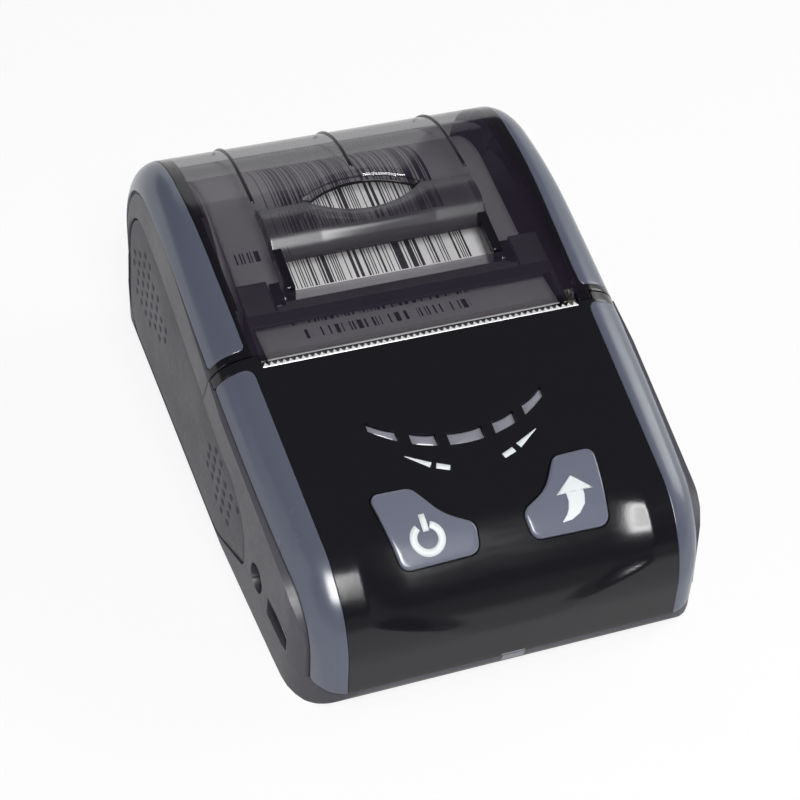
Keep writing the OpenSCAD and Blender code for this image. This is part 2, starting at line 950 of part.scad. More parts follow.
// Key cap that follows the scooped surface, with a skirt rim below the cover
module button_body() {
    intersection() {
        button_frame()
            translate([0, 0, -2.6])
                linear_extrude(8)
                    children();
        across(60)
            polygon(concat(scoop_arc(scoop_radius + button_proud), [[-60, 10], [-36, 10], [-36, 30.2]]));
    }
}
module key_board() {
    color([0.1, 0.35, 0.2])
        button_frame()
            union() {
                translate([-24, -7.5, -6.6])
                    cube([48, 14, 1.2]);
                for (x = [-12.5, 12.5])
                    translate([x, -1.5, -5.4]) {
                        translate([-3, -3, 0])
                            cube([6, 6, 1.1]);
                        cylinder(r = 1.5, h = 1.8);
                    }
            }
}
module led_board() {
    color([0.1, 0.35, 0.2])
        translate([0, -29, slope_z(-29)])
            rotate([slope_angle, 0, 0])
                union() {
                    translate([-19, -4.5, -5.6])
                        cube([38, 9, 1]);
                    for (x = [-14, -7.5, 0, 7.5, 14])
                        translate([x - 1.2, -0.8 + (abs(x) > 10 ? 2 : abs(x) > 5 ? 0 : -1), -4.6])
                            cube([2.4, 1.6, 1]);
                }
}
module status_lenses() {
    color([0.45, 0.46, 0.5])
        intersection() {
            translate([0, 0, 20])
                linear_extrude(30)
                    status_windows(-0.1);
            across(60)
                profile_band(0.3, 2.6);
        }
}
module main_board() {
    color([0.1, 0.35, 0.2])
        union() {
            difference() {
                translate([-34, -47, board_z])
                    cube([68, 28.4, board_thick]);
                for (x = [-screw_x, screw_x])
                    translate([x, screw_ys[0], 10])
                        cylinder(r = 3.2, h = 10);
            }
            translate([-8, -36, board_z + board_thick])
                cube([10, 10, 1.2]);
            translate([8, -30, board_z + board_thick])
                cube([7, 5, 1.6]);
            translate([-22, -28, board_z + board_thick])
                cube([6, 9, 2.4]);
        }
}
module dc_jack() {
    color([0.12, 0.12, 0.12])
        difference() {
            translate([-36.7, jack_y - 3.2, jack_z - 2.9])
                cube([8.1, 6.4, 5.7]);
            rod(-38, jack_y, jack_z, jack_r - 0.4, 6.5);
        }
    color([0.8, 0.8, 0.8])
        rod(-36.5, jack_y, jack_z, 0.8, 5.5);
}
module usb_socket() {
    color([0.75, 0.75, 0.77])
        difference() {
            union() {
                translate([-37.4, usb_at[0] + 0.4, usb_at[1] + 0.4])
                    cube([7.5, usb_size[0] - 0.8, usb_size[1] - 0.6]);
                translate([-33.5, usb_at[0] + 3.2, usb_at[1] + 3.9])
                    cube([3, 5, board_z - usb_at[1] - 3.9]);
            }
            translate([-38, usb_at[0] + 0.9, usb_at[1] + 0.9])
                cube([6, usb_size[0] - 1.8, usb_size[1] - 1.6]);
        }
    color([0.15, 0.15, 0.15])
        translate([-36.6, usb_at[0] + 2.2, usb_at[1] + 1.8])
            cube([5, 4.6, 0.8]);
}
module paper_sensor() {
    color([0.12, 0.12, 0.12])
        translate([-2, 8, 12.6])
            rotate([-31.2, 0, 0])
                cube([6, 5, 2.6]);
}
module roll_cradle() {
    inner = 19;
    color([0.16, 0.16, 0.17])
        across(60)
            polygon(concat(
                [for (a = [-117:8:-37]) [roll_y + inner * cos(a), roll_z + inner * sin(a)]],
                [for (a = [-37:-8:-117]) [roll_y + (inner + 0.58) * cos(a), roll_z + (inner + 0.58) * sin(a)]]
            ));
}
module paper_core() {
    color([0.7, 0.6, 0.45])
        difference() {
            rod(-paper_w / 2, roll_y, roll_z, core_r, paper_w);
            rod(-paper_w, roll_y, roll_z, core_r - 1, 2 * paper_w);
        }
}
module paper_roll() {
    color([0.95, 0.95, 0.94])
        difference() {
            rod(-paper_w / 2, roll_y, roll_z, roll_r, paper_w);
            rod(-paper_w, roll_y, roll_z, core_r, 2 * paper_w);
        }
}
// Paper that runs from under the roll, round the front of the platen, up to the tear bar
function under_line(clear) =
    let (
        r1 = roll_r + clear,
        r2 = platen_r + clear,
        a = [roll_y, roll_z],
        b = [platen_y, platen_z],
        dir = unit(b - a),
        perp = [dir[1] * -1, dir[0]],
        k = (r1 - r2) / norm(b - a)
    )
    dir * k + perp * sqrt(1 - k * k);
module paper_web() {
    n = under_line(0.2);
    from = atan2(n[1], n[0]);
    last = -180;
    arc = function(r) [
        for (i = [0:4])
        let (a = from + (last - from) * i / 4)
        [platen_y, platen_z] + r * [cos(a), sin(a)]
    ];
    inner = platen_r + 0.15;
    outer = platen_r + 0.34;
    color([0.95, 0.95, 0.94])
        across(56)
            polygon(concat(
                [[roll_y, roll_z] + n * (roll_r + 0.2)], arc(inner), [[platen_y - inner, slope_z(tear_y) - 0.6]],
                [[platen_y - outer, slope_z(tear_y) - 0.6]], [for (i = [4:-1:0]) arc(outer)[i]],
                [[roll_y, roll_z] + n * (roll_r + 0.4)]
            ));
}
// Printed receipt laid back over the roll, under the cover, ahead of the roll it sags below the lever's pins
module printed_strip() {
    r = roll_r + 0.75;
    ahead = [[20, 37.4], [9, 35.2], [-1, 34.8], [-6.6, 34.75]];
    color([0.93, 0.93, 0.92])
        across(56)
            polygon(concat(
                [for (a = [40:9:97.6]) [roll_y + r * cos(a), roll_z + r * sin(a)]],
                ahead,
                [for (i = [3:-1:0]) ahead[i] + [0, 0.25]],
                [for (a = [94:-9:40]) [roll_y + (r + 0.25) * cos(a), roll_z + (r + 0.25) * sin(a)]]
            ));
}

module battery_pack() {
    color([0.2, 0.22, 0.3])
        translate([0, battery_y, battery_z])
            linear_extrude(battery_high)
                polygon(rounded([
                    for (c = [[1, -1], [1, 1], [-1, 1], [-1, -1]])
                    [c[0] * battery_half[0], c[1] * battery_half[1], 2]
                ], 4));
}
module battery_contacts() {
    color([0.85, 0.7, 0.3])
        for (x = [-6, 0, 6])
            translate([x - 1, -22, battery_z + battery_high])
                cube([2, 2.5, board_z - battery_z - battery_high]);
}
module battery_door() {
    color([0.2, 0.2, 0.22])
        union() {
            translate([-door_half, door_front, 0.3])
                cube([2 * door_half, 34, 1.6]);
            rod(-door_barrel, door_pivot[0], door_pivot[1], 1.2, 2 * door_barrel);
            rod(-door_pin, door_pivot[0], door_pivot[1], 0.75, 2 * door_pin);
            translate([-door_barrel, door_pivot[0] - 1.4, 0.5])
                cube([2 * door_barrel, 1.4, 1.2]);
        }
}
module hinge_pin() {
    color([0.75, 0.75, 0.77])
        rod(-37.4, hinge_y, hinge_z, pin_r, 74.8);
}
module case_screws() {
    color([0.5, 0.5, 0.52])
        for (x = [-screw_x, screw_x], y = screw_ys) {
            translate([x, y, 0.6])
                cylinder(r = 2.1, h = 1);
            translate([x, y, 1.6])
                cylinder(r = screw_r, h = 6);
        }
}
module front_tab_solid(d) {
    intersection() {
        translate([0, -half_len, 3.9])
            cube([4.2 - 2 * d, 2.6 - d, 2.4 - 2 * d], center = true);
        across(20)
            polygon(side_outline(0));
    }
}
module front_tab() {
    color([0.42, 0.44, 0.5])
        front_tab_solid(0.1);
}
module rubber_feet() {
    color([0.1, 0.1, 0.1])
        for (x = [-foot_x, foot_x], y = foot_ys)
            translate([x, y, 0])
                cylinder(r = foot_r, h = foot_high);
}

bottom_shell();
upper_shell();
front_cover();
front_trim_left();
front_trim_right();
grip_panel_left();
grip_panel_right();
tear_bar();
print_head();
head_heatsink();
head_springs();
head_cable();
mechanism_frame();
stepper_motor();
motor_pinion();
reduction_gear();
main_board();
key_board();
led_board();
status_lenses();
usb_socket();
dc_jack();
paper_sensor();
roll_cradle();
battery_pack();
battery_contacts();
hinge_pin();
case_screws();
front_tab();
rubber_feet();
battery_door();
power_button();
feed_button();
paper_roll();
paper_core();
paper_web();
lid_cover();
lid_trim_left();
lid_trim_right();
lid_side_left();
lid_side_right();
platen_carrier();
platen_bushes();
printed_strip();
lid_lever();
lever_pins();
platen_shaft();
platen_rubber();
platen_gear();
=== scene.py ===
# %% [markdown]
# # A pocket thermal printer
# This lesson dresses a pocket receipt printer. Its engineering solids come in as a fixed frame, and every
# cell below adds one visible piece or one finish. The real object is a few moulded shells, so most pieces
# are thin curved skins: a grid of points worked out with numpy, given its wall by a Solidify modifier.
# %% Frame and units
import bpy
import bmesh
import numpy as np
from mathutils import Matrix


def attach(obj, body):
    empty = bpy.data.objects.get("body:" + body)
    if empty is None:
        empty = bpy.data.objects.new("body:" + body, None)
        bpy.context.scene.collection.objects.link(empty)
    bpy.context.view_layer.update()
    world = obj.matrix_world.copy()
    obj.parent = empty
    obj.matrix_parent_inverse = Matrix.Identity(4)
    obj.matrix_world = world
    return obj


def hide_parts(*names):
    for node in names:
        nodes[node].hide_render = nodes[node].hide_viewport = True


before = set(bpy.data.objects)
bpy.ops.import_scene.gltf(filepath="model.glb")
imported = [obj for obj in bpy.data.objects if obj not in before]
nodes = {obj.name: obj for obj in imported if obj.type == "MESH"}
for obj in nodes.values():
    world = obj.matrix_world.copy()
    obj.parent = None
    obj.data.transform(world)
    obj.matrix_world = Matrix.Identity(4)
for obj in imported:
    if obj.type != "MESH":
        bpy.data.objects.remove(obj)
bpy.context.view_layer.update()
bpy.context.scene.view_settings.view_transform = "Standard"
MM = 0.001

# %% [markdown]
# ## The camera
# The photograph was taken from above the front left corner with a long lens. A camera is a matrix whose
# columns are its right, its up and its back direction, so the three are built from two angles and a small
# roll, and the lens length follows from the width of the picture.
# %% Camera
CAMERA_AZIMUTH, CAMERA_ELEVATION, CAMERA_ROLL = np.radians([21.616, 41.577, 3.003])
CAMERA_DISTANCE = 378.31
CAMERA_TARGET = np.array([0.006, 0.0, 12.77])
FOCAL_PIXELS, PICTURE_PIXELS, SENSOR_WIDTH = 1988.8, 800, 36.0


def unit(vector):
    """The vector at length 1."""
    return vector / np.linalg.norm(vector)


def add_object(name, data):
    """Object that holds the data, linked to the scene."""
    made = bpy.data.objects.new(name, data)
    bpy.context.scene.collection.objects.link(made)
    return made


def placed(right, up, back, place):
    """Matrix whose columns are three directions and a place."""
    return Matrix([[right[k], up[k], back[k], place[k]] for k in range(3)] + [[0, 0, 0, 1]])


def place_camera():
    """Camera from its azimuth and elevation, with right and up then turned by the roll about its own axis."""
    back = np.array([
        -np.sin(CAMERA_AZIMUTH) * np.cos(CAMERA_ELEVATION),
        -np.cos(CAMERA_AZIMUTH) * np.cos(CAMERA_ELEVATION),
        np.sin(CAMERA_ELEVATION),
    ])
    level = unit(np.cross([0, 0, 1], back))
    upward = np.cross(back, level)
    right = level * np.cos(CAMERA_ROLL) + upward * np.sin(CAMERA_ROLL)
    up = upward * np.cos(CAMERA_ROLL) - level * np.sin(CAMERA_ROLL)
    data = bpy.data.cameras.new("photo_camera")
    data.sensor_width = SENSOR_WIDTH
    data.lens = SENSOR_WIDTH * FOCAL_PIXELS / PICTURE_PIXELS
    data.clip_start = 0.01
    camera = add_object("photo_camera", data)
    camera.matrix_world = placed(right, up, back, (CAMERA_TARGET + back * CAMERA_DISTANCE) * MM)
    bpy.context.scene.camera = camera
    return camera


print("lens", round(place_camera().data.lens, 1), "mm")

# %% [markdown]
# ## Node helpers
# Materials here are made in code, which a few small helpers keep readable. One turns an everyday 0 to 255
# colour into the linear values that Blender mixes, one adds a node and sets or links its sockets, and the
# others give a sum, a fade, a range or a mix of colours in one line.
# %% Node helpers
def tone(red, green, blue):
    """Linear colour of an sRGB one: the usual curve, a power of 2.4 above a short straight start."""
    value = np.array([red, green, blue]) / 255
    linear = np.where(value <= 0.04045, value / 12.92, ((value + 0.055) / 1.055) ** 2.4)
    return (*linear.tolist(), 1.0)


def fill_socket(tree, socket, value):
    """Sets the socket to the value, or links it where the value is a socket too."""
    if isinstance(value, bpy.types.NodeSocket):
        tree.links.new(value, socket)
    else:
        socket.default_value = value


def add_node(tree, kind, settings=None, **inputs):
    """A node of that kind, with attributes from settings and with sockets set or linked by name."""
    node = tree.nodes.new(kind)
    for key, value in (settings or {}).items():
        setattr(node, key, value)
    for key, value in inputs.items():
        fill_socket(tree, node.inputs[key.replace("_", " ")], value)
    return node


def calculate(tree, operation, *values):
    """Result of one Math node on numbers and sockets."""
    node = add_node(tree, "ShaderNodeMath", {"operation": operation})
    for socket, value in zip(node.inputs, values):
        fill_socket(tree, socket, value)
    return node.outputs[0]


def fade(tree, value, start, end, low=0.0, high=1.0):
    """Goes from low to high while value goes from start to end, and stays level beyond them."""
    limits = {"From_Min": start, "From_Max": end, "To_Min": low, "To_Max": high}
    return add_node(tree, "ShaderNodeMapRange", Value=value, **limits).outputs["Result"]


def between(tree, value, low, high):
    """1 where value lies between low and high, and 0 elsewhere."""
    above = calculate(tree, "GREATER_THAN", value, low)
    return calculate(tree, "MULTIPLY", above, calculate(tree, "LESS_THAN", value, high))


def mix_colours(tree, factor, first, second):
    """Colour that goes from the first to the second as factor goes from 0 to 1."""
    node = add_node(tree, "ShaderNodeMix", {"data_type": "RGBA"})
    for place, value in ((0, factor), (6, first), (7, second)):
        fill_socket(tree, node.inputs[place], value)
    return node.outputs[2]


# %% [markdown]
# ## Floor, backdrop and light
# The photograph stands on a white sweep. The floor is a diffuse sheet that the camera sees mixed with plain
# white, so the page stays white and a soft contact shadow remains. The world is dark overhead, because
# black gloss shows whatever is above it. Near the horizon it is white, higher up at the right and dimmer in
# front. A last lamp that diffuse rays don't see adds highlights to the gloss, and no other light.
# %% Floor
FLOOR_HALF, FLOOR_DROP = 3.0, 0.00005
SHADOW_SHARE = 0.16


def empty_tree(owner):
    """Node tree of a material or a world, emptied, and the outputs of a Light Path node put in it."""
    owner.use_nodes = True
    owner.node_tree.nodes.clear()
    return owner.node_tree, owner.node_tree.nodes.new("ShaderNodeLightPath").outputs


def make_floor():
    """A flat square a hair below the feet, its shading mixed with plain white for rays that show the page."""
    mesh = bpy.data.meshes.new("floor")
    square = FLOOR_HALF * np.array([(-1, -1), (1, -1), (1, 1), (-1, 1)])
    mesh.from_pydata([(x, y, -FLOOR_DROP) for x, y in square.tolist()], [], [(0, 1, 2, 3)])
    material = bpy.data.materials.new("white_sweep")
    tree, ray = empty_tree(material)
    shows = calculate(tree, "MAXIMUM", ray["Is Camera Ray"], ray["Is Glossy Ray"])
    shows = calculate(tree, "MAXIMUM", shows, ray["Is Transmission Ray"])
    share = calculate(tree, "MULTIPLY", shows, 1 - SHADOW_SHARE)
    matt = add_node(tree, "ShaderNodeBsdfDiffuse", Color=(0.97, 0.97, 0.97, 1))
    page = add_node(tree, "ShaderNodeEmission", Color=(1, 1, 1, 1), Strength=1.0)
    mixed = tree.nodes.new("ShaderNodeMixShader")
    for socket, source in zip(mixed.inputs, (share, matt.outputs[0], page.outputs[0])):
        tree.links.new(source, socket)
    output = tree.nodes.new("ShaderNodeOutputMaterial")
    tree.links.new(mixed.outputs[0], output.inputs[0])
    material.cycles.emission_sampling = "NONE"
    mesh.materials.append(material)
    add_object("floor", mesh)


make_floor()
print("floor", 2 * FLOOR_HALF, "m wide")

# %% World and lamps
HORIZON_TOP, HORIZON_FADE, CEILING = 0.24, 0.05, 0.12
RIGHT_FROM, RIGHT_TO, RIGHT_LIFT = 0.55, 0.8, 0.45
FRONT_FROM, FRONT_TO, FRONT_SHARE = -0.55, -0.1, 0.3
LAMP_AIM, FRONT_PLACE = (0, 0, 0.02), (-0.07, -0.44, 0.56)
LAMPS = {
    "front_softbox": (FRONT_PLACE, 0.3, 3.7),
    "right_softbox": ((0.72, 0.12, 0.36), 0.4, 2.0),
    "left_softbox": ((-0.68, 0.05, 0.4), 0.4, 0.4),
    "rear_softbox": ((0.05, 0.66, 0.42), 0.4, 0.6),
    "highlight_card": (FRONT_PLACE, 0.36, 15.0),
}


def make_world():
    """White up to a little above the horizon and higher at the right, dim overhead and in front."""
    world = bpy.data.worlds.new("studio")
    bpy.context.scene.world = world
    tree, ray = empty_tree(world)
    direction = tree.nodes.new("ShaderNodeTexCoord").outputs["Generated"]
    split = add_node(tree, "ShaderNodeSeparateXYZ", Vector=direction).outputs
    lift = fade(tree, split["X"], RIGHT_FROM, RIGHT_TO, 0.0, RIGHT_LIFT)
    height = calculate(tree, "SUBTRACT", split["Z"], lift)
    sky = fade(tree, height, HORIZON_TOP, HORIZON_TOP + HORIZON_FADE, 1.0, CEILING)
    rear = fade(tree, split["Y"], FRONT_FROM, FRONT_TO, FRONT_SHARE, 1.0)
    seen = calculate(tree, "MAXIMUM", ray["Is Camera Ray"], ray["Is Transmission Ray"])
    strength = calculate(tree, "MAXIMUM", calculate(tree, "MULTIPLY", sky, rear), seen)
    background = add_node(tree, "ShaderNodeBackground", Color=(1, 1, 1, 1), Strength=strength)
    output = tree.nodes.new("ShaderNodeOutputWorld")
    tree.links.new(background.outputs[0], output.inputs[0])


def make_lamp(name, place, size, power):
    """Square softbox at a place in metres, facing the printer."""
    data = bpy.data.lights.new(name, "AREA")
    data.size = size
    data.energy = power
    facing = unit(np.array(LAMP_AIM) - np.array(place))
    side = unit(np.cross(facing, [0, 0, 1]))
    lamp = add_object(name, data)
    lamp.matrix_world = placed(side, np.cross(side, facing), -facing, place)
    return lamp


make_world()
lamps = {name: make_lamp(name, *light) for name, light in LAMPS.items()}
lamps["highlight_card"].visible_diffuse = False
print(len(lamps), "lamps under a dim sky", CEILING)

# %% [markdown]
# ## Finishes shared by several materials
# Two effects appear on almost every moulded part. Spark-eroded tools leave a fine grain, and handling
# leaves faint smudges that change how sharply a surface shines. Each is a node group with named sockets,
# built once and placed in every material with its own numbers.
# %% Shader groups
NOISE = "ShaderNodeTexNoise"


def new_group(name, output, **inputs):
    """Node group with one float output and float inputs at their defaults; also its Object coordinates."""
    group = bpy.data.node_groups.new(name, "ShaderNodeTree")
    group.interface.new_socket(output, in_out="OUTPUT", socket_type="NodeSocketFloat")
    for label, value in inputs.items():
        socket = group.interface.new_socket(label, in_out="INPUT", socket_type="NodeSocketFloat")
        socket.default_value = value
    place = group.nodes.new("ShaderNodeTexCoord").outputs["Object"]
    given = group.nodes.new("NodeGroupInput").outputs
    return group, place, given, group.nodes.new("NodeGroupOutput").inputs[output]


def make_fine_grain():
    """Height of a moulded grain: two noises, the finer one at half weight."""
    group, place, given, result = new_group("fine_grain", "Height", Scale=2500.0)
    coarse = add_node(group, NOISE, Vector=place, Scale=given["Scale"], Detail=2.0)
    finer_scale = calculate(group, "MULTIPLY", given["Scale"], 2.7)
    fine = add_node(group, NOISE, Vector=place, Scale=finer_scale, Detail=1.0)
    height = calculate(group, "MULTIPLY_ADD", fine.outputs["Fac"], 0.5, coarse.outputs["Fac"])
    group.links.new(height, result)
    return group


def make_handling():
    """Mask of smudges from 0 to 1: broad soft patches plus a share of thin drawn-out streaks."""
    group, place, given, result = new_group("handling_marks", "Mask", Scale=45.0, Streaks=0.5)
    patches = add_node(group, NOISE, Vector=place, Scale=given["Scale"], Detail=4.0, Roughness=0.6)
    turn, stretch = (0.3, 0.5, 0.7), (1.0, 7.0, 7.0)
    drawn = add_node(group, "ShaderNodeMapping", Vector=place, Rotation=turn, Scale=stretch)
    streak_scale = calculate(group, "MULTIPLY", given["Scale"], 3.0)
    streaks = add_node(group, NOISE, Vector=drawn.outputs[0], Scale=streak_scale, Detail=3.0)
    total = calculate(group, "MULTIPLY_ADD", streaks.outputs["Fac"], given["Streaks"], patches.outputs["Fac"])
    group.links.new(fade(group, total, 0.45, 1.05), result)
    return group


FINE_GRAIN = make_fine_grain()
HANDLING = make_handling()
print("groups:", FINE_GRAIN.name, HANDLING.name)

# %% [markdown]
# ## Materials
# Nearly every surface is a Principled BSDF. What sets them apart is colour, how sharp the shine is, how
# strong the grain is, and how much the smudges show, so one function makes them all and returns the
# material, because a few need something more.
# %% Base material
def finish(
    name, body, rough, grain=0.0, rough_spread=0.08, shade=0.92, grain_scale=2500.0, smudge_scale=45.0,
    streaks=0.5, metallic=0.0, specular=0.5,
):
    """Principled material: the smudge mask shifts colour and roughness, grain is a bump in millimetres."""
    material = bpy.data.materials.new(name)
    material.use_nodes = True
    tree = material.node_tree
    shader = tree.nodes["Principled BSDF"].inputs
    marks = add_node(tree, "ShaderNodeGroup", {"node_tree": HANDLING}, Scale=smudge_scale, Streaks=streaks)
    mask = marks.outputs["Mask"]
    colour = tone(*body)
    darker = (*(v * shade for v in colour[:3]), 1.0)
    tree.links.new(mix_colours(tree, mask, colour, darker), shader["Base Color"])
    roughness = fade(tree, mask, 0.0, 1.0, max(rough - rough_spread, 0.01), rough + rough_spread)
    tree.links.new(roughness, shader["Roughness"])
    shader["Metallic"].default_value = metallic
    shader["Specular IOR Level"].default_value = specular
    if grain:
        relief = add_node(tree, "ShaderNodeGroup", {"node_tree": FINE_GRAIN}, Scale=grain_scale)
        height = relief.outputs["Height"]
        bump = add_node(tree, "ShaderNodeBump", Strength=1.0, Distance=grain * MM, Height=height)
        tree.links.new(bump.outputs["Normal"], shader["Normal"])
    return material


# %% Plastics, metals and rubber
SIDE_PLASTIC = finish("graphite_satin", (70, 68, 76), 0.46, 0.006, specular=0.3, grain_scale=3200, shade=0.9)
BASE_PLASTIC = finish("graphite_base", (68, 67, 74), 0.5, 0.008, specular=0.3, grain_scale=2600, shade=0.9)
GRIP_PLASTIC = finish("grip_satin", (66, 64, 72), 0.52, 0.012, specular=0.25, grain_scale=2400, shade=0.88)
TRIM_PLASTIC = finish(
    "blue_grey_satin", (86, 90, 106), 0.28, 0.0008, streaks=0.1, grain_scale=3600, shade=0.93,
)
BLACK_GLOSS = finish(
    "satin_black", (23, 22, 27), 0.15, 0.008, rough_spread=0.04, grain_scale=3000, shade=0.85, specular=0.4,
)
KEY_PLASTIC = finish(
    "key_grey", (108, 111, 127), 0.18, 0.002, rough_spread=0.04, streaks=0.1, grain_scale=3000, shade=0.96,
)
TAB_PLASTIC = finish("tab_grey", (128, 129, 138), 0.45, 0.004)
INNER_BLACK = finish("inner_black", (30, 30, 33), 0.5, 0.01)
MARK_WHITE = finish("printed_white", (226, 230, 232), 0.5, 0.003, shade=0.96, specular=0.3)
# Painted highlight: the blade's light, mostly diffuse colour stands in for the glint of its steel teeth.
BLADE_STEEL_PAINTED_GLINT = finish("blade_steel_painted_glint", (226, 226, 228), 0.36, 0.004, metallic=0.35, grain_scale=5000, streaks=1.0)
PLAIN_STEEL = finish("zinc_steel", (176, 178, 182), 0.34, 0.006, metallic=1.0, streaks=1.0)
ALUMINIUM = finish("extruded_aluminium", (190, 192, 195), 0.36, 0.006, metallic=1.0, streaks=1.0)
BRASS = finish("brass", (205, 170, 95), 0.3, 0.004, metallic=1.0)
CERAMIC = finish("head_ceramic", (214, 208, 190), 0.35, 0.004)
GEAR_PLASTIC = finish("gear_white", (222, 221, 212), 0.4, 0.006)
BUSH_PLASTIC = finish("bush_tan", (196, 182, 152), 0.42, 0.006)
RUBBER = finish("roller_rubber", (34, 34, 36), 0.62, 0.02, grain_scale=1800)
FOOT_RUBBER = finish("foot_rubber", (40, 40, 42), 0.7, 0.03, grain_scale=1500)
CARD = finish("grey_card", (160, 138, 108), 0.85, 0.03, grain_scale=1400, shade=0.82)
RIBBON = finish("cable_film", (206, 186, 132), 0.4, 0.004)
SHRINK_FILM = finish("battery_film", (48, 58, 92), 0.3, 0.01, rough_spread=0.12, grain_scale=600)
BOARD = finish("board_lacquer", (22, 84, 48), 0.3, 0.02, grain_scale=500, shade=0.7, smudge_scale=220)
print(len(bpy.data.materials), "materials so far")

# %% [markdown]
# ## Smoked clear plastic
# The cover over the roll is clear plastic with black dye. Light passes both faces of its wall on the way in
# and again on the way out. A glass shader would bend the paper's image, which a flat moulded wall hardly
# does, so each of the two faces is a dark gloss with an alpha, raised where the view grazes it.
# %% Smoked plastic
def smoked(name, body, clear, graze, rough, specular):
    """Dark gloss with an alpha from clear, face on, to graze at the rim, by how the view meets the face."""
    material = finish(name, body, rough, rough_spread=0.02, shade=0.9, specular=specular)
    tree = material.node_tree
    facing = add_node(tree, "ShaderNodeLayerWeight", Blend=0.35).outputs["Facing"]
    alpha = fade(tree, facing, 0.25, 1.0, clear, graze)
    tree.links.new(alpha, tree.nodes["Principled BSDF"].inputs["Alpha"])
    material.surface_render_method = "BLENDED"
    return material


SMOKE = smoked("smoked_clear", (44, 36, 54), 0.37, 0.88, 0.05, 0.8)
# The lever's denser, darker smoke is partly its thicker plastic and partly painted shade of the shadowed paper
# below it.
SMOKE_THICK_SHADED = smoked("smoked_thick_shaded", (37, 32, 45), 0.6, 0.9, 0.32, 0.5)
SMOKE_EDGE = smoked("smoked_edge", (20, 18, 25), 0.95, 0.99, 0.12, 0.35)
LENS_GREY = finish("window_diffuser", (138, 138, 149), 0.2, 0.004, rough_spread=0.05, grain_scale=1600)
print("smoked plastics ready")

# %% [markdown]
# ## Printed paper
# The receipt under the cover carries a plain test pattern: bars of random widths in two blocks, and rows of
# small ticks. A White Noise node gives each narrow cell along the width its own number, and the cells above
# a limit are black.
# %% Paper materials
ROLL_AXIS, ROLL_RADIUS, CORE_RADIUS, PAPER_HALF = np.array([36.0, 21.6]), 18.0, 6.5, 28.5
BAR_BLOCKS = [(-17.0, 17.6, 23.6, 46.0), (-17.2, 17.6, 10.4, 17.4)]
TICK_ROWS = [(-21.0, 14.2, 1.1, 3.2), (-20.0, 12.2, -2.9, -0.4), (-27.0, -15.5, 18.4, 21.0)]
BAR_CELL, BAR_LIMIT = 0.21, 0.52
TICK_CELL, TICK_LIMIT, TICK_STEP, TICK_SHARE = 0.3, 0.45, 1.45, 0.66
WINDING, END_DEPTH, END_SHARE = 0.12, 0.4, 0.35


def object_axes(tree):
    """X, Y and Z of the Object coordinates, as sockets."""
    place = tree.nodes.new("ShaderNodeTexCoord").outputs["Object"]
    return add_node(tree, "ShaderNodeSeparateXYZ", Vector=place).outputs


def product(tree, first, *others):
    """The values multiplied together."""
    for other in others:
        first = calculate(tree, "MULTIPLY", first, other)
    return first


def cell_numbers(tree, value, cell, salt):
    """A steady random number for each cell of that width along value."""
    step = calculate(tree, "FLOOR", calculate(tree, "DIVIDE", value, cell * MM))
    seed = calculate(tree, "ADD", step, salt)
    return add_node(tree, "ShaderNodeTexWhiteNoise", {"noise_dimensions": "1D"}, W=seed).outputs["Value"]


def inside_block(tree, axes, block):
    """1 inside the block, given in millimetres as its left, right, front and back edge."""
    left, right, front, back = (v * MM for v in block)
    return product(tree, between(tree, axes["X"], left, right), between(tree, axes["Y"], front, back))


def paper(name, body, rough, shade):
    """Coated paper."""
    return finish(name, body, rough, 0.004, grain_scale=1800, shade=shade, specular=0.3)


def lay_over(material, mask, colour):
    """Mixes a colour over the material's own one by a mask."""
    tree = material.node_tree
    base = tree.nodes["Principled BSDF"].inputs["Base Color"]
    plain = base.links[0].from_socket
    tree.links.new(mix_colours(tree, mask, plain, tone(*colour)), base)
    return material


def make_printed_paper():
    """Thermal paper: black where a bar or a tick falls, otherwise a white greyed as painted shade. Ticks come
    at even steps.
    """
    # The paper's white is darker than the roll's own: painted shade for the strip that lies under the lid.
    material = paper("printed_paper_shaded", (212, 210, 212), 0.55, 0.97)
    tree = material.node_tree
    axes = object_axes(tree)
    phase = calculate(tree, "MODULO", calculate(tree, "ADD", axes["X"], 1.0), TICK_STEP * MM)
    comb = calculate(tree, "LESS_THAN", phase, TICK_SHARE * TICK_STEP * MM)
    prints = [(block, BAR_CELL, 17.0 + 40 * k, BAR_LIMIT, 1.0) for k, block in enumerate(BAR_BLOCKS)]
    prints += [(block, TICK_CELL, 7.0 + 30 * k, TICK_LIMIT, comb) for k, block in enumerate(TICK_ROWS)]
    ink = 0.0
    for block, cell, salt, limit, shown in prints:
        marks = calculate(tree, "GREATER_THAN", cell_numbers(tree, axes["X"], cell, salt), limit)
        ink = calculate(tree, "MAXIMUM", ink, product(tree, marks, shown, inside_block(tree, axes, block)))
    return lay_over(material, ink, (38, 36, 44))


def make_roll_paper():
    """Wound paper: on its two ends, thin rings by the distance from the roll's axis over the plain paper."""
    material = paper("wound_paper", (232, 232, 230), 0.6, 0.95)
    tree = material.node_tree
    axes = object_axes(tree)
    away = [calculate(tree, "SUBTRACT", axes[k], float(middle) * MM) for k, middle in zip("YZ", ROLL_AXIS)]
    squares = [calculate(tree, "POWER", distance, 2.0) for distance in away]
    radius = calculate(tree, "SQRT", calculate(tree, "ADD", *squares))
    limit = (PAPER_HALF - END_DEPTH) * MM
    at_end = calculate(tree, "GREATER_THAN", calculate(tree, "ABSOLUTE", axes["X"]), limit)
    rings = cell_numbers(tree, radius, WINDING, 3.0)
    return lay_over(material, product(tree, rings, at_end, END_SHARE), (176, 174, 168))


SHADED_PRINTED_PAPER = make_printed_paper()
ROLL_PAPER = make_roll_paper()
PLAIN_PAPER = paper("plain_paper", (228, 228, 226), 0.6, 0.97)
print("paper ready")

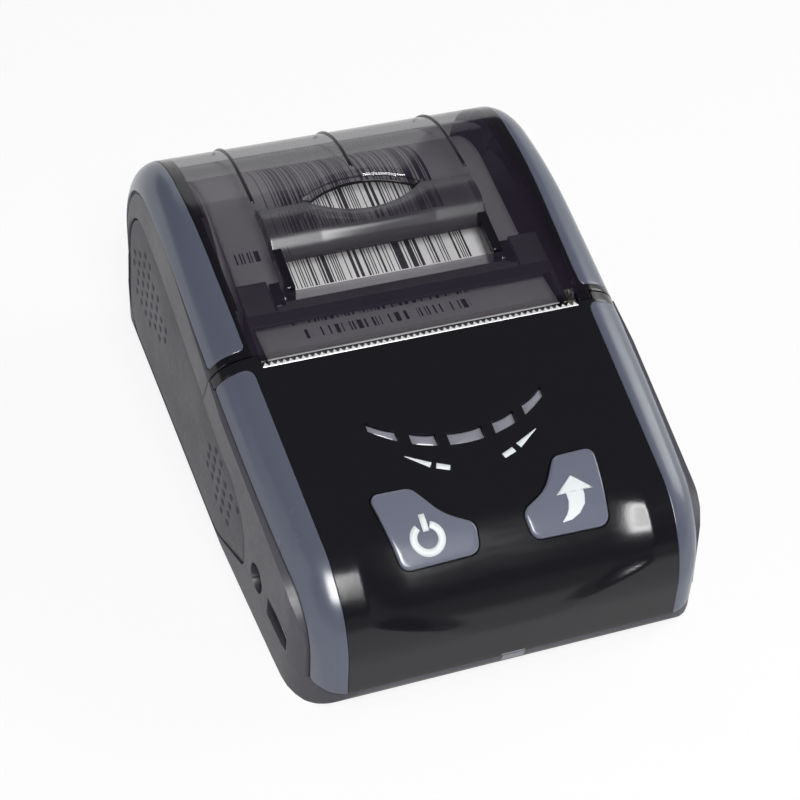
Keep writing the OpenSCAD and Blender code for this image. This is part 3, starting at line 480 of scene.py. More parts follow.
# %% [markdown]
# ## The side profile
# Seen from the side the printer is one rounded outline, and nearly every outer surface follows it: a point
# is a distance along the outline, a place across, and a depth below it. The outline is worked out once as
# a dense table and everything else looks it up.
# %% Side profile
HALF_LEN, SLOPE_START = 59.5, 24.8
TOP_Y, TOP_Z = 24, 45.5
SIDE_CORNERS = [
    (HALF_LEN, 0, 8), (HALF_LEN, 46, 23.5), (TOP_Y, TOP_Z, 85),
    (-HALF_LEN, SLOPE_START, 16.7), (-HALF_LEN, 0, 6),
]
SLOPE = (TOP_Z - SLOPE_START) / (TOP_Y + HALF_LEN)
TABLE_SIZE = 6000


def corner_arms(corners):
    """For each corner of a closed outline: place, radius, directions to its neighbours, half their angle."""
    corners = np.array(corners, float)
    for before, corner, after in zip(np.roll(corners, 1, 0), corners, np.roll(corners, -1, 0)):
        first, last = unit(before[:2] - corner[:2]), unit(after[:2] - corner[:2])
        yield corner[:2], corner[2], first, last, np.arccos(first @ last) / 2


def rounded(corners, steps):
    """Closed outline with arcs for corners: an arc's two ends about its centre are weighted by sines."""
    way = np.linspace(0, 1, steps)[:, None]
    pieces = []
    for point, radius, first, last, half in corner_arms(corners):
        turn = np.pi - 2 * half
        centre = point + unit(first + last) * radius / np.sin(half)
        start = point + first * radius / np.tan(half) - centre
        end = point + last * radius / np.tan(half) - centre
        pieces.append(centre + (start * np.sin((1 - way) * turn) + end * np.sin(way * turn)) / np.sin(turn))
    return np.concatenate(pieces)


def inset(corners, distance):
    """Corners of an anticlockwise outline moved inward along their bisectors; the radii change to suit."""
    moved = []
    for point, radius, first, last, half in corner_arms(corners):
        outward = 1 if last[0] * first[1] - last[1] * first[0] > 0 else -1
        place = point + unit(first + last) * outward * distance / np.sin(half)
        moved.append((*place, max(radius - outward * distance, 0.02)))
    return moved


def walk(path, count, endpoint=True):
    """Equal steps along a path: the distances, and the points there, linear between the path's own points."""
    length = np.concatenate([[0], np.cumsum(np.linalg.norm(np.diff(path, axis=0), axis=1))])
    distance = np.linspace(0, length[-1], count, endpoint=endpoint)
    return distance, np.stack([np.interp(distance, length, path[:, k]) for k in range(2)], -1)


def profile_table():
    """Lengths, points and inward normals at equal steps along the outline, from the rear foot forward."""
    along, dense = walk(rounded(SIDE_CORNERS, 60), TABLE_SIZE)
    tangent = np.gradient(dense, axis=0)
    tangent /= np.linalg.norm(tangent, axis=1)[:, None]
    return along, dense, np.stack([-tangent[:, 1], tangent[:, 0]], 1)


ALONG, PROFILE, INWARD = profile_table()
SUMMIT = int(np.argmax(PROFILE[:, 1]))
print("outline", round(ALONG[-1], 1), "mm long, summit", PROFILE[SUMMIT].round(1))

# %% Places on the profile
def at_length(s):
    """Point and inward normal at distance s along the outline, as four arrays."""
    return tuple(np.interp(s, ALONG, table[:, k]) for table in (PROFILE, INWARD) for k in range(2))


def length_at_y(y):
    """Distance along the outline where the top reaches y."""
    return np.interp(-np.asarray(y, float), -PROFILE[:, 0], ALONG)


def length_at_rear(z):
    """Distance along the outline where the back reaches height z."""
    return np.interp(z, PROFILE[:SUMMIT, 1], ALONG[:SUMMIT])


def length_at_nose(z):
    """Distance along the outline where the front reaches height z."""
    return np.interp(-np.asarray(z, float), -PROFILE[SUMMIT:, 1], ALONG[SUMMIT:])


def slope_z(y):
    """Height of the straight sloping top at y."""
    return SLOPE_START + (np.asarray(y, float) + HALF_LEN) * SLOPE


def skin(s, x, depth=0.0):
    """Points at distance s along the outline, place x across, and depth below the outline."""
    y, z, inward_y, inward_z = at_length(s)
    x, y, z = np.broadcast_arrays(x, y + inward_y * depth, z + inward_z * depth)
    return np.stack([x, y, z], -1)


def parting_z(y):
    """Height of the joint between the upper and the lower shell."""
    return np.interp(y, [-60.5, -44, -30, 60.5], [5, 8.6, 10.3, 11])


# %% [markdown]
# ## Across the top
# The cover is flat across. At its edges a curved corner strip turns down to the side wall. Its section is
# a quadratic Bezier curve whose end points drift a little along the printer.
# %% Corner section
def cover_half(y):
    """Half width of the flat cover."""
    t = np.asarray(y) / 60
    return 32.24 + 2.07 * t - 0.05 * t**2


def edge_half(y):
    """Half width of the corner strip's outer edge."""
    t = np.asarray(y) / 60
    return 38.91 + 0.98 * t - 1.51 * t**2 + 0.9 * t**3 + 0.09 * t**4


def edge_depth(y):
    """Depth of the corner strip's outer edge below the top outline."""
    t = np.asarray(y) / 60
    return 4.65 + 0.37 * t + 0.69 * t**2


def corner_section(y, w):
    """Place across and depth of the strip: a quadratic Bezier curve, w from 0 at the cover to 1 at its end."""
    inner, outer, depth = cover_half(y), edge_half(y), edge_depth(y)
    middle = inner + 0.74 * (outer - inner)
    across = (1 - w) ** 2 * inner + 2 * w * (1 - w) * middle + w**2 * outer
    return across, 2 * w * (1 - w) * 0.1 * depth + w**2 * depth


# %% [markdown]
# ## From arrays to meshes
# A surface is a block of points with rows and columns. Its faces are the same four-index pattern at every
# place, so they come from slices of one index array, without a loop. Faces can be left out by a mask, and
# points that no face uses are dropped.
# %% Mesh helpers
def grid_faces(rows, columns, close_rows=False, close_columns=False):
    """Quads of the grid, each joining a point with its neighbours in the next row and the next column."""
    index = np.arange(rows * columns).reshape(rows, columns)
    if close_rows:
        index = np.concatenate([index, index[:1]], 0)
    if close_columns:
        index = np.concatenate([index, index[:, :1]], 1)
    return np.stack([index[:-1, :-1], index[1:, :-1], index[1:, 1:], index[:-1, 1:]], -1)


def add_mesh(name, points, faces, material, merge=False):
    """Object at the origin from points in millimetres and rows of corner numbers."""
    used, renumbered = np.unique(np.concatenate([np.ravel(f) for f in faces]), return_inverse=True)
    sizes = [len(f) for f in faces]
    corners = np.split(renumbered, np.cumsum(sizes)[:-1])
    mesh = bpy.data.meshes.new(name)
    mesh.from_pydata((points[used] * MM).tolist(), [], [c.tolist() for c in corners])
    if merge:
        work = bmesh.new()
        work.from_mesh(mesh)
        bmesh.ops.remove_doubles(work, verts=work.verts, dist=0.002 * MM)
        work.to_mesh(mesh)
        work.free()
    mesh.shade_smooth()
    mesh.materials.append(material)
    return add_object(name, mesh)


def sheet(name, points, material, keep=None, flip=False):
    """Open surface from a rows by columns block of points, without the faces that keep leaves out."""
    faces = grid_faces(*points.shape[:2])
    faces = faces.reshape(-1, 4) if keep is None else faces[keep]
    if flip:
        faces = faces[:, ::-1]
    return add_mesh(name, points.reshape(-1, 3), list(faces), material)


def tube(name, points, material, flip=False, close_rows=False):
    """Closed surface whose columns go round; its first and last row are capped unless the rows close too."""
    rows, columns = points.shape[:2]
    faces = list(grid_faces(rows, columns, close_rows, True).reshape(-1, 4))
    if not close_rows:
        faces += [np.arange(columns), np.arange(rows * columns - 1, (rows - 1) * columns - 1, -1)]
    if flip:
        faces = [f[::-1] for f in faces]
    return add_mesh(name, points.reshape(-1, 3), faces, material, merge=True)


def wall(piece, thickness):
    """Gives an open surface its wall, inward from its outer face."""
    solidify = piece.modifiers.new("wall", "SOLIDIFY")
    solidify.thickness = thickness * MM
    solidify.offset = -1
    solidify.use_even_offset = True
    return piece


def soften(piece, radius, steps=3, limit=40):
    """Rounds the sharp edges and evens the shading of the faces beside them."""
    if radius:
        bevel = piece.modifiers.new("rounded edges", "BEVEL")
        bevel.width = radius * MM
        bevel.segments = steps
        bevel.limit_method = "ANGLE"
        bevel.angle_limit = np.radians(limit)
        bevel.harden_normals = False
    even = piece.modifiers.new("even shading", "WEIGHTED_NORMAL")
    even.keep_sharp = True
    even.weight = 80
    return piece


def settle(piece):
    """Applies the modifiers, so that the next step works on the finished mesh."""
    shaped = piece.evaluated_get(bpy.context.evaluated_depsgraph_get())
    mesh = bpy.data.meshes.new_from_object(shaped)
    piece.modifiers.clear()
    piece.data = mesh
    return piece


def mount(piece, body, slot, *replaced):
    """The piece rides on a body and may stand for solids of the frame. The slot is not used."""
    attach(piece, body)
    if replaced:
        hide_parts(*replaced)
    return piece


# %% [markdown]
# ## Corner strips
# Four blue-grey strips cover the long corners, two on the lid and two on the front. Each is a grid of
# distance along the outline by place round the section. Where two strips meet in the middle, the corner
# next to the cover is rounded, which is done by holding the end back along a quarter circle.
# %% Corner strips
SIDES = ((-1, "left"), (1, "right"))
LID_FRONT, TRIM_FRONT, BAND_FRONT, LID_FLOOR = -7.6, -6.1, -10.0, 17.5
LID_GAP, SEAM, STRIP_WALL = 0.3, 0.06, 1.8
LID_END_RADIUS, FRONT_END_RADIUS, WALL_END_RADIUS = 1.4, 1.9, 0.8
STRIP_EDGE, GROOVE_DEPTH, GROOVE_DROP, GROOVE_WALL = 0.94, 0.7, 0.3, 0.4


def quarter(distance, radius):
    """Setback of a rounded corner at a distance from the edge: a quarter circle, none beyond the radius."""
    return radius - np.sqrt(radius**2 - (radius - np.minimum(distance, radius)) ** 2)


def end_hold(y, w, radius):
    """Setback of a rounded end, by the distances round the section from the cover and from the wall."""
    across, depth = corner_section(y, w)
    reach = np.concatenate([[0], np.cumsum(np.hypot(np.diff(across), np.diff(depth)))])
    return quarter(reach, radius) + quarter(reach[-1] - reach, WALL_END_RADIUS)


def strip_points(start, end, rows, w, side):
    """Grid of a corner strip between two distances along the outline, each of which may change with w."""
    way = np.linspace(0, 1, rows)[:, None]
    s = start + (end - start) * way
    across, depth = corner_section(at_length(s)[0], w[None, :])
    points = skin(s, side * across, depth)
    return points if side > 0 else points[:, ::-1]


def make_strip(name, node, body, start, end, rows, side):
    """Strip from the cover to near the wall; a power of 1.1 crowds its columns towards the cover."""
    w = STRIP_EDGE * np.linspace(0, 1, 26) ** 1.1
    piece = sheet(name, strip_points(start(w), end(w), rows, w, side), TRIM_PLASTIC)
    mount(soften(wall(piece, STRIP_WALL), 0.28), body, "trim_grey", node)


def make_groove(name, body, start, end, rows, side):
    """Dark floor of the seam between a strip and the side wall, a little below and inside both."""
    w = np.linspace(STRIP_EDGE - 0.12, 1, 6)
    points = strip_points(start(w), end(w), rows, w, side)
    points[..., 0] -= side * GROOVE_DEPTH
    points[..., 2] -= GROOVE_DROP
    mount(wall(sheet(name, points, INNER_BLACK), GROOVE_WALL), body, "black_plastic")


def lid_start(w):
    """Rear end of the lid's strips: where the back reaches the lid's lower edge."""
    return length_at_rear(LID_FLOOR + SEAM) + 0 * w


def lid_end(w):
    """Front end of the lid's strips: straight across, held back at its two rounded corners."""
    return length_at_y(TRIM_FRONT) - end_hold(TRIM_FRONT, w, LID_END_RADIUS)


def front_start(w):
    """Rear end of the front strips, rounded in the same way."""
    return length_at_y(BAND_FRONT) + end_hold(BAND_FRONT, w, FRONT_END_RADIUS)


def front_end(w):
    """Lower end of the front strips: where the nose reaches the parting line below each column."""
    return length_at_nose(parting_z(-HALF_LEN + corner_section(-HALF_LEN, w)[1]) + SEAM)


STRIPS = {
    "lid": ("lid", lid_start, lid_end, 130, 90),
    "front": ("housing", front_start, front_end, 110, 80),
}
for side, word in SIDES:
    for part, (body, start, end, rows, seam_rows) in STRIPS.items():
        make_strip(f"{part}_strip_{word}", f"{part}_trim_{word}", body, start, end, rows, side)
    for part, (body, start, end, rows, seam_rows) in STRIPS.items():
        make_groove(f"{part}_seam_{word}", body, start, end, seam_rows, side)
print("four corner strips")

# %% [markdown]
# ## The scooped front
# The black front runs down the slope and round the nose. A shallow scoop is let into it, which holds the
# keys. On the grid the scoop is just a depth: how far below the outline the scoop's flatter arc lies,
# times a soft mask that fades out at the scoop's edge.
# %% Scoop
SCOOP_FROM, SCOOP_TO, SCOOP_RADIUS = np.array([-39, 29.9]), np.array([-59.35, 13.2]), 23.0
SCOOP_HALF, SCOOP_FLOOR, SCOOP_TURN, SCOOP_SLANT = 25.8, 9.6, 1.77, 0.348
SCOOP_FLARE, SCOOP_LIP, SCOOP_CORNER = 8.0, 2.6, 1.3
SMOOTH_WIDTH, SMOOTH_FROM, SMOOTH_RISE = 1.3, 16, 5


def scoop_centre():
    """Centre of the arc that joins the scoop's two ends with its radius, on the inner side."""
    chord = SCOOP_TO - SCOOP_FROM
    half = np.linalg.norm(chord) / 2
    inner = unit(np.array([-chord[1], chord[0]]))
    return (SCOOP_FROM + SCOOP_TO) / 2 + inner * np.sqrt(SCOOP_RADIUS**2 - half**2)


SCOOP_CENTRE = scoop_centre()


def scoop_depth(s):
    """Distance inward from the outline to the scoop's arc, by the quadratic formula; smoothed at the top."""
    y, z, inward_y, inward_z = at_length(s)
    aside, above = y - SCOOP_CENTRE[0], z - SCOOP_CENTRE[1]
    along = aside * inward_y + above * inward_z
    over = aside**2 + above**2 - SCOOP_RADIUS**2
    outside = (over > 0) & (y < SCOOP_FROM[0]) & (z > SCOOP_TO[1])
    depth = np.where(outside, -along - np.sqrt(np.maximum(along**2 - over, 0)), 0)
    reach = np.arange(-3, 3.01, 0.25)
    weight = np.exp(-((reach / SMOOTH_WIDTH) ** 2))
    smooth = sum(k * np.interp(s + r, s, depth) for r, k in zip(reach, weight)) / weight.sum()
    return depth + (smooth - depth) * np.clip((z - SMOOTH_FROM) / SMOOTH_RISE, 0, 1)


def scoop_mask(x, z):
    """Share of the depth: from 0 at the rim up a parabola over the flare; a soft minimum rounds corners."""
    beside = SCOOP_HALF - np.abs(x)
    above = (z - SCOOP_FLOOR - np.sqrt((SCOOP_SLANT * x) ** 2 + SCOOP_TURN**2)) * SCOOP_FLARE / SCOOP_LIP
    inside = -SCOOP_CORNER * np.log(np.exp(-beside / SCOOP_CORNER) + np.exp(-above / SCOOP_CORNER))
    return 1 - (1 - np.clip(inside / SCOOP_FLARE, 0, 1)) ** 2


print("scoop arc centre", SCOOP_CENTRE.round(2))

# %% Front cover
SLOT_HALF, SLOT_FRONT, NOTCH_FRONT, NOTCH_END = 30.3, -10.4, -9.55, 33.25
FILL_REACH, FILL_DEPTH, COVER_WALL = 3.0, 0.15, 2.0
FLAT_HALF, FOLD_FACES = 31.9, 9


def with_marks(start, end, step, marks):
    """Even steps from start to end, with the marks put in and near neighbours of a mark left out."""
    even = np.linspace(start, end, int(abs(end - start) / step) + 1)
    marks = np.array(marks, float)
    even = even[np.abs(even[:, None] - marks).min(1) > 0.3 * step]
    return np.unique(np.concatenate([even, marks, [start, end]]))


def cover_columns(fixed, step=0.42):
    """Columns across: corner section w on the left, shares of the flat half width, and w on the right."""
    w = np.linspace(0, 1, 15)
    return w[::-1].copy(), with_marks(-1, 1, step / 32, fixed), w


def cover_points(lengths, left, flat, right, depth_of):
    """Grid over the whole width, with its length along the outline at every point: the corner sections beyond
    the flat part, which is lowered by depth_of."""
    ends = np.cumsum([len(left), len(flat)])
    s_left, s_flat, s_right = np.split(lengths, ends, axis=1)
    across_left, depth_left = corner_section(at_length(s_left)[0], left)
    across_right, depth_right = corner_section(at_length(s_right)[0], right)
    across = flat * (cover_half(at_length(s_flat)[0]) - SEAM)
    parts = [skin(s_left, -across_left, depth_left), skin(s_flat, across, depth_of(s_flat, across))]
    return np.concatenate([*parts, skin(s_right, across_right, depth_right)], 1)


def face_centres(points):
    """Mean of the four corners of every face of the grid."""
    return (points[:-1, :-1] + points[1:, :-1] + points[1:, 1:] + points[:-1, 1:]) / 4


def face_columns(left, flat, right):
    """Masks of the grid's face columns: the flat part, and that part with the first faces of each fold."""
    column = np.arange(len(left) + len(flat) + len(right) - 1)[None, :]
    first, last = len(left), len(left) + len(flat) - 1
    fold = (column >= first - FOLD_FACES) & (column < last + FOLD_FACES)
    return (column >= first) & (column < last), fold


def scooped(s, across):
    """Depth of the scoop's arc times the scoop's mask."""
    return scoop_depth(s[:, 0])[:, None] * scoop_mask(across, at_length(s)[1])


def make_front_cover():
    """Grid from the lid's edge to the parting line, without the slot, the notch and what strips cover."""
    marks = length_at_y([NOTCH_FRONT, SLOT_FRONT, BAND_FRONT])
    start, end = length_at_y(LID_FRONT - LID_GAP), length_at_nose(parting_z(-HALF_LEN) + SEAM)
    s = with_marks(start, end, 0.42, marks)
    left, flat, right = cover_columns([-SLOT_HALF / FLAT_HALF, SLOT_HALF / FLAT_HALF])
    notch = corner_section(NOTCH_FRONT, right)[0]
    right[np.argmin(np.abs(notch - NOTCH_END))] = np.interp(NOTCH_END, notch, right)
    beside = np.concatenate([np.ones(len(left)), np.zeros(len(flat)), np.ones(len(right))])
    points = cover_points(s[:, None] + 0 * beside, left, flat, right, scooped)
    row_y = at_length((s[:-1] + s[1:]) / 2)[0][:, None]
    centre_x = face_centres(points)[..., 0]
    flat_zone, fold = face_columns(left, flat, right)
    keep = flat_zone | (row_y > BAND_FRONT) | (fold & (row_y > BAND_FRONT - FILL_REACH))
    keep &= ~((row_y > SLOT_FRONT) & (np.abs(centre_x) < SLOT_HALF))
    keep &= ~((row_y > NOTCH_FRONT) & (centre_x > SLOT_HALF) & (centre_x < NOTCH_END))
    y, _, inward_y, inward_z = at_length(s)
    sunk = FILL_DEPTH * (y < BAND_FRONT - 0.01)[:, None] * beside
    inward = np.stack([0 * y, inward_y, inward_z], -1)[:, None, :]
    return sheet("front_cover_skin", points + sunk[..., None] * inward, BLACK_GLOSS, keep)


front_cover = settle(wall(make_front_cover(), COVER_WALL))
print("front cover", len(front_cover.data.polygons), "faces")

# %% [markdown]
# ## Openings in the front
# Two key wells, five status windows and the slot of the small tab go right through. Each is a prism, and
# the Boolean modifier takes it away. The prisms use the same outlines as the pieces that fill them, so the
# gaps come out even.
# %% Outlines of the openings
KEY_PLACE, KEY_TILT = np.array([-46.0, 26.9]), np.radians(24)
POWER_CORNERS = [
    (-4.6, -7.1, 2.2), (-4, -1.6, 2.4), (-9.2, 1.2, 9), (-13, 7.4, 2.5), (-20.9, 7.6, 1.8), (-19, -7.4, 2.2),
]
FEED_CORNERS = [(-x, y, r) for x, y, r in POWER_CORNERS[::-1]]
TAB_BOTTOM, TAB_TOP, TAB_WALL = 2.9, 5.6, 1.0
TAB_SLOT = np.array([(-2.4, -62), (2.2, -62), (2.2, -57), (-2.4, -57)])
WINDOW_SPANS = [(-16.4, -11.7), (-9.7, -5.25), (-3.25, 3.25), (5.25, 9.7), (11.7, 16.4)]
WINDOW_ARCS = [(-8.2, 25), (-2.7, 27.9)]
WELL_REACH, WINDOW_REACH = 8.0, (22, 45)


def key_plane(flat, height):
    """Points of the tilted key panel: flat holds place across and up the panel, height is normal to it."""
    y = KEY_PLACE[0] + flat[..., 1] * np.cos(KEY_TILT) - height * np.sin(KEY_TILT)
    z = KEY_PLACE[1] + flat[..., 1] * np.sin(KEY_TILT) + height * np.cos(KEY_TILT)
    return np.stack([flat[..., 0], y, z], -1)


def on_scoop(flat, proud):
    """Points above the scoop's arc by proud: the height over the panel where the ray meets the wider arc."""
    away = key_plane(flat, 0)[..., 1:] - SCOOP_CENTRE
    along = away @ [-np.sin(KEY_TILT), np.cos(KEY_TILT)]
    height = -along + np.sqrt(along**2 - (away**2).sum(-1) + (SCOOP_RADIUS + proud) ** 2)
    return key_plane(flat, height)


def window_outline(left, right):
    """Window between two arcs, each by its centre's y and its radius, anticlockwise from the front one."""
    x = np.linspace(left, right, 24)
    front, rear = (np.stack([x, middle - np.sqrt(radius**2 - x**2)], -1) for middle, radius in WINDOW_ARCS)
    return np.concatenate([front, rear[::-1]])


def prism(outline, low, high, axis):
    """Two rows of points: the flat outline set at two places on the axis that it has no values for."""
    return np.stack([np.insert(outline, axis, place, axis=1) for place in (low, high)])


def cut(piece, rows):
    """Takes the prism between two rows of points out of the piece."""
    cutter = tube("cutter", rows, BLACK_GLOSS, flip=True)
    boolean = piece.modifiers.new("opening", "BOOLEAN")
    boolean.operation = "DIFFERENCE"
    boolean.solver = "EXACT"
    boolean.object = cutter
    settle(piece)
    bpy.data.objects.remove(cutter)


# %% Cutting the openings
for corners in (POWER_CORNERS, FEED_CORNERS):
    outline = rounded(corners, 9)
    cut(front_cover, np.stack([key_plane(outline, -WELL_REACH), key_plane(outline, WELL_REACH)]))
for span in WINDOW_SPANS:
    cut(front_cover, prism(window_outline(*span), *WINDOW_REACH, 2))
cut(front_cover, prism(TAB_SLOT, TAB_BOTTOM - 0.2, TAB_TOP + 0.1, 2))
front_cover.data.set_sharp_from_angle(angle=np.radians(38))
mount(soften(front_cover, 0), "housing", "gloss_black", "front_cover")
print("front cover with openings", len(front_cover.data.polygons), "faces")

# %% [markdown]
# ## Status windows and the tab
# Each window holds a frosted light guide that lies a little below the panel, crowned like a pillow so that
# it catches the light. Its loops shrink from the opening's outline to the middle. The tab at the foot of
# the nose is a small patch that follows the nose.
# %% Status windows
GUIDE_GAP, GUIDE_DEPTH, CROWN_STRETCH, EDGE_STRETCH = 0.08, 0.55, 0.32 / 0.23, 0.72 * 0.32 / 0.23
GUIDE_LOOPS = [
    (1, 2.4), (1, 0.25), (0.99, 0.12), (0.96, 0.04), (0.9, 0), (0.7, -0.12), (0.45, -0.2), (0.15, -0.23),
]


def shrunk(outline, share, gap):
    """Outline drawn towards its mean by a share, then by a gap along the way to the mean."""
    middle = outline.mean(0)
    away = outline - middle
    reach = np.linalg.norm(away, axis=1)[:, None]
    return middle + away * share * (1 - gap / reach)


def guide_points(outline):
    """Loops of one light guide: a straight side, a rounded edge, then a crown that rises to the middle."""
    loops = []
    for share, depth in GUIDE_LOOPS:
        flat = shrunk(outline, share, GUIDE_GAP)
        below = GUIDE_DEPTH + depth * (CROWN_STRETCH if depth < 0 else EDGE_STRETCH)
        loops.append(np.concatenate([flat, (slope_z(flat[:, 1]) - below)[:, None]], 1))
    return np.stack(loops)


for k, span in enumerate(WINDOW_SPANS):
    guide = tube(f"light_guide_{k}", guide_points(window_outline(*span)), LENS_GREY, flip=True)
    replaced = ["status_lenses"] if k == 0 else []
    mount(soften(guide, 0), "housing", "lens_grey", *replaced)
tab_rows = np.linspace(length_at_nose(TAB_TOP), length_at_nose(TAB_BOTTOM), 14)[:, None]
tab = sheet("nose_tab", skin(tab_rows, np.linspace(-2.35, 2.15, 12)[None, :], 0.04), TAB_PLASTIC)
mount(soften(wall(tab, TAB_WALL), 0.15), "housing", "trim_grey", "front_tab")
print(len(WINDOW_SPANS), "light guides")

# %% [markdown]
# ## The two keys
# A key cap is a stack of loops. From the skirt the loop rises, turns over a small radius and then shrinks
# to the middle while it follows the scoop's arc. The printed symbols are thin skins just above the cap.
# %% Key caps
KEY_GAP, KEY_PROUD, KEY_EDGE, KEY_SKIRT, KEY_STEPS = 0.25, 0.5, 0.5, 2.6, 220


def key_loop(corners, gap):
    """The key's outline drawn in by a gap, at equal steps from where its first corner starts."""
    outline = rounded(inset(corners, gap), 24)
    return walk(np.concatenate([outline, outline[:1]]), KEY_STEPS, False)[1]


def key_points(corners):
    """Loops of the cap, from its skirt over a rounded edge to the middle of its crown."""
    loops = [key_plane(key_loop(corners, KEY_GAP), -KEY_SKIRT)]
    for angle in np.linspace(0, np.pi / 2, 7):
        edge = key_loop(corners, KEY_GAP + KEY_EDGE * (1 - np.cos(angle)))
        loops.append(on_scoop(edge, KEY_PROUD - KEY_EDGE * (1 - np.sin(angle))))
    middle = edge.mean(0)
    for share in (0.93, 0.84, 0.72, 0.58, 0.42, 0.25, 0.08):
        loops.append(on_scoop(middle + (edge - middle) * share, KEY_PROUD))
    return np.stack(loops)


for name, corners in (("power", POWER_CORNERS), ("feed", FEED_CORNERS)):
    cap = tube(f"{name}_key_cap", key_points(corners), KEY_PLASTIC, flip=True)
    mount(soften(cap, 0), f"{name}_key", "button_grey", f"{name}_button")
print("key caps", KEY_PROUD, "mm proud")

# %% Key symbols
PRINT_LIFT, PRINT_WALL = 0.03, 0.02
RING_MIDDLE, RING_OUTER, RING_INNER = np.array([-13.2, -2.75]), 3.1, 1.8


def print_on_key(name, flat, body):
    """Thin printed skin on a key, from a grid of places on its panel."""
    piece = sheet(name, on_scoop(flat, KEY_PROUD + PRINT_LIFT), MARK_WHITE, flip=True)
    mount(wall(piece, PRINT_WALL), body, "button_grey")


def ring_grid(middle, inner, outer, first, last):
    """Part of a flat ring: radius by angle."""
    angle = np.linspace(first, last, 60)[:, None]
    radius = np.linspace(inner, outer, 3)[None, :]
    return middle + np.stack([radius * np.cos(angle), radius * np.sin(angle)], -1)


def ribbon_grid(line, half):
    """Flat ribbon along a line of places: each row steps half to either side, square to the line."""
    direction = np.gradient(line, axis=0)
    direction /= np.linalg.norm(direction, axis=1)[:, None]
    aside = np.stack([direction[:, 1], -direction[:, 0]], -1)
    sides = np.array([-1, 0, 1])[None, :, None]
    return line[:, None, :] + sides * aside[:, None, :] * np.asarray(half)[:, None, None]


ARROW_LEFT = [
    (10.55, -5.15), (11.55, -4.2), (12.2, -3.2), (12.6, -1.9), (12.62, -0.75), (12.6, -0.45), (10.85, -0.45),
    (14.4, 2.55),
]
ARROW_RIGHT = [
    (10.65, -5.25), (12.3, -5.1), (14.0, -4.3), (15.3, -2.9), (15.75, -1.3), (15.75, -0.45), (17.6, -0.45),
    (14.5, 2.55),
]


def arrow_grid():
    """Feed arrow as rows between a left and a right edge, from the tail's point to the head's tip."""
    corner = np.arange(len(ARROW_LEFT))
    row = np.linspace(0, corner[-1], 8 * corner[-1] + 1)
    edges = np.array([ARROW_LEFT, ARROW_RIGHT])
    left, right = (np.stack([np.interp(row, corner, edge[:, k]) for k in range(2)], -1) for edge in edges)
    share = np.linspace(0, 1, 9)[None, :, None]
    return left[:, None, :] * (1 - share) + right[:, None, :] * share


power_ring = ring_grid(RING_MIDDLE, RING_INNER, RING_OUTER, np.radians(121), np.radians(427))
print_on_key("power_symbol_ring", power_ring, "power_key")
bar_line = RING_MIDDLE + np.stack([np.full(4, 0.08), np.linspace(1.25, 4.4, 4)], -1)
print_on_key("power_symbol_bar", ribbon_grid(bar_line, [0.54] * 4), "power_key")
print_on_key("feed_symbol_arrow", arrow_grid(), "feed_key")
print("symbols lifted", PRINT_LIFT, "mm")

# %% [markdown]
# ## Marks beside the windows
# The panel carries a few plain white marks below its windows. They are printed on, so they are ribbons on
# the slope with a half width that may taper.
# %% Panel marks
PANEL_MARKS = [
    ((-11.9, -33.3), (-8.0, -36.0), 0.06, 0.52),
    ((-7.1, -36.35), (-4.9, -37.3), 0.55, 0.5),
    ((4.95, -37.3), (7.2, -36.45), 0.5, 0.55),
    ((8.25, -35.9), (12.45, -33.4), 0.58, 0.06),
]
for k, (start, end, half_start, half_end) in enumerate(PANEL_MARKS):
    way = np.linspace(0, 1, 8)[:, None]
    line = np.array(start) + (np.array(end) - np.array(start)) * way
    flat = ribbon_grid(line, half_start + (half_end - half_start) * way[:, 0])
    place = np.stack([flat[..., 0], flat[..., 1], slope_z(flat[..., 1]) + PRINT_LIFT], -1)
    mark = sheet(f"panel_mark_{k}", place, MARK_WHITE, flip=True)
    mount(wall(mark, PRINT_WALL), "housing", "gloss_black")
print(len(PANEL_MARKS), "marks")

# %% [markdown]
# ## The smoked cover
# One grid covers the lid from the hinge over the top to its front edge. The opening for the lever is
# rectangular with half a lens behind it. Rows are bent onto the lens' arc, so that its rim is clean, and
# the arc's edge is rounded by lowering the points near it.
# %% Lens and lever opening
LEVER_HALF, OPEN_FRONT, OPEN_REAR, BEND_REAR = 21.0, 4.3, 24.4, 34.0
LENS_Y, LENS_OFFSET, LENS_RADIUS, RIM_RADIUS = 24.3, 13.0, 17.3, 1.8
LENS_HALF = np.sqrt(LENS_RADIUS**2 - LENS_OFFSET**2)


def lens_rim(x, way):
    """Rim of the lens-shaped hole, an arc that bulges to the rear for way 1 and to the front for way -1."""
    return LENS_Y + way * (np.sqrt(LENS_RADIUS**2 - np.minimum(np.abs(x), LENS_HALF) ** 2) - LENS_OFFSET)


def lid_lengths(s, x):
    """Distance along the outline for every grid point: rows behind the opening bend onto the lens' rim."""
    s_bend, s_open = length_at_y(BEND_REAR), length_at_y(OPEN_REAR)
    rim = length_at_y(np.maximum(lens_rim(x, 1), OPEN_REAR))
    share = np.clip((s[:, None] - s_bend) / (s_open - s_bend), 0, 1)
    drawn = s_bend + share * (rim[None, :] - s_bend)
    behind = (s[:, None] > s_bend) & (s[:, None] <= s_open + 1e-6)
    return np.where(behind, drawn, s[:, None] + 0 * x[None, :])


def rim_fillet(s, across):
    """Rounded edge behind the lens-shaped hole: a quarter circle by the distance from its arc."""
    y = at_length(s)[0]
    away = np.hypot(across, y - (LENS_Y - LENS_OFFSET)) - LENS_RADIUS
    behind = (y > OPEN_REAR) & (np.abs(across) < LENS_HALF + 0.4)
    return np.where(behind, quarter(np.maximum(away, 0), RIM_RADIUS), 0)


# %% Lid cover
LID_HALF, OUTSIDE, EDGE_FROM, LID_REAR = 33.2, 40.0, 31.2, 15.6
RIM_ROWS = [0, 0.12, 0.28, 0.5, 0.8, 1.2, 1.7, 2.3]


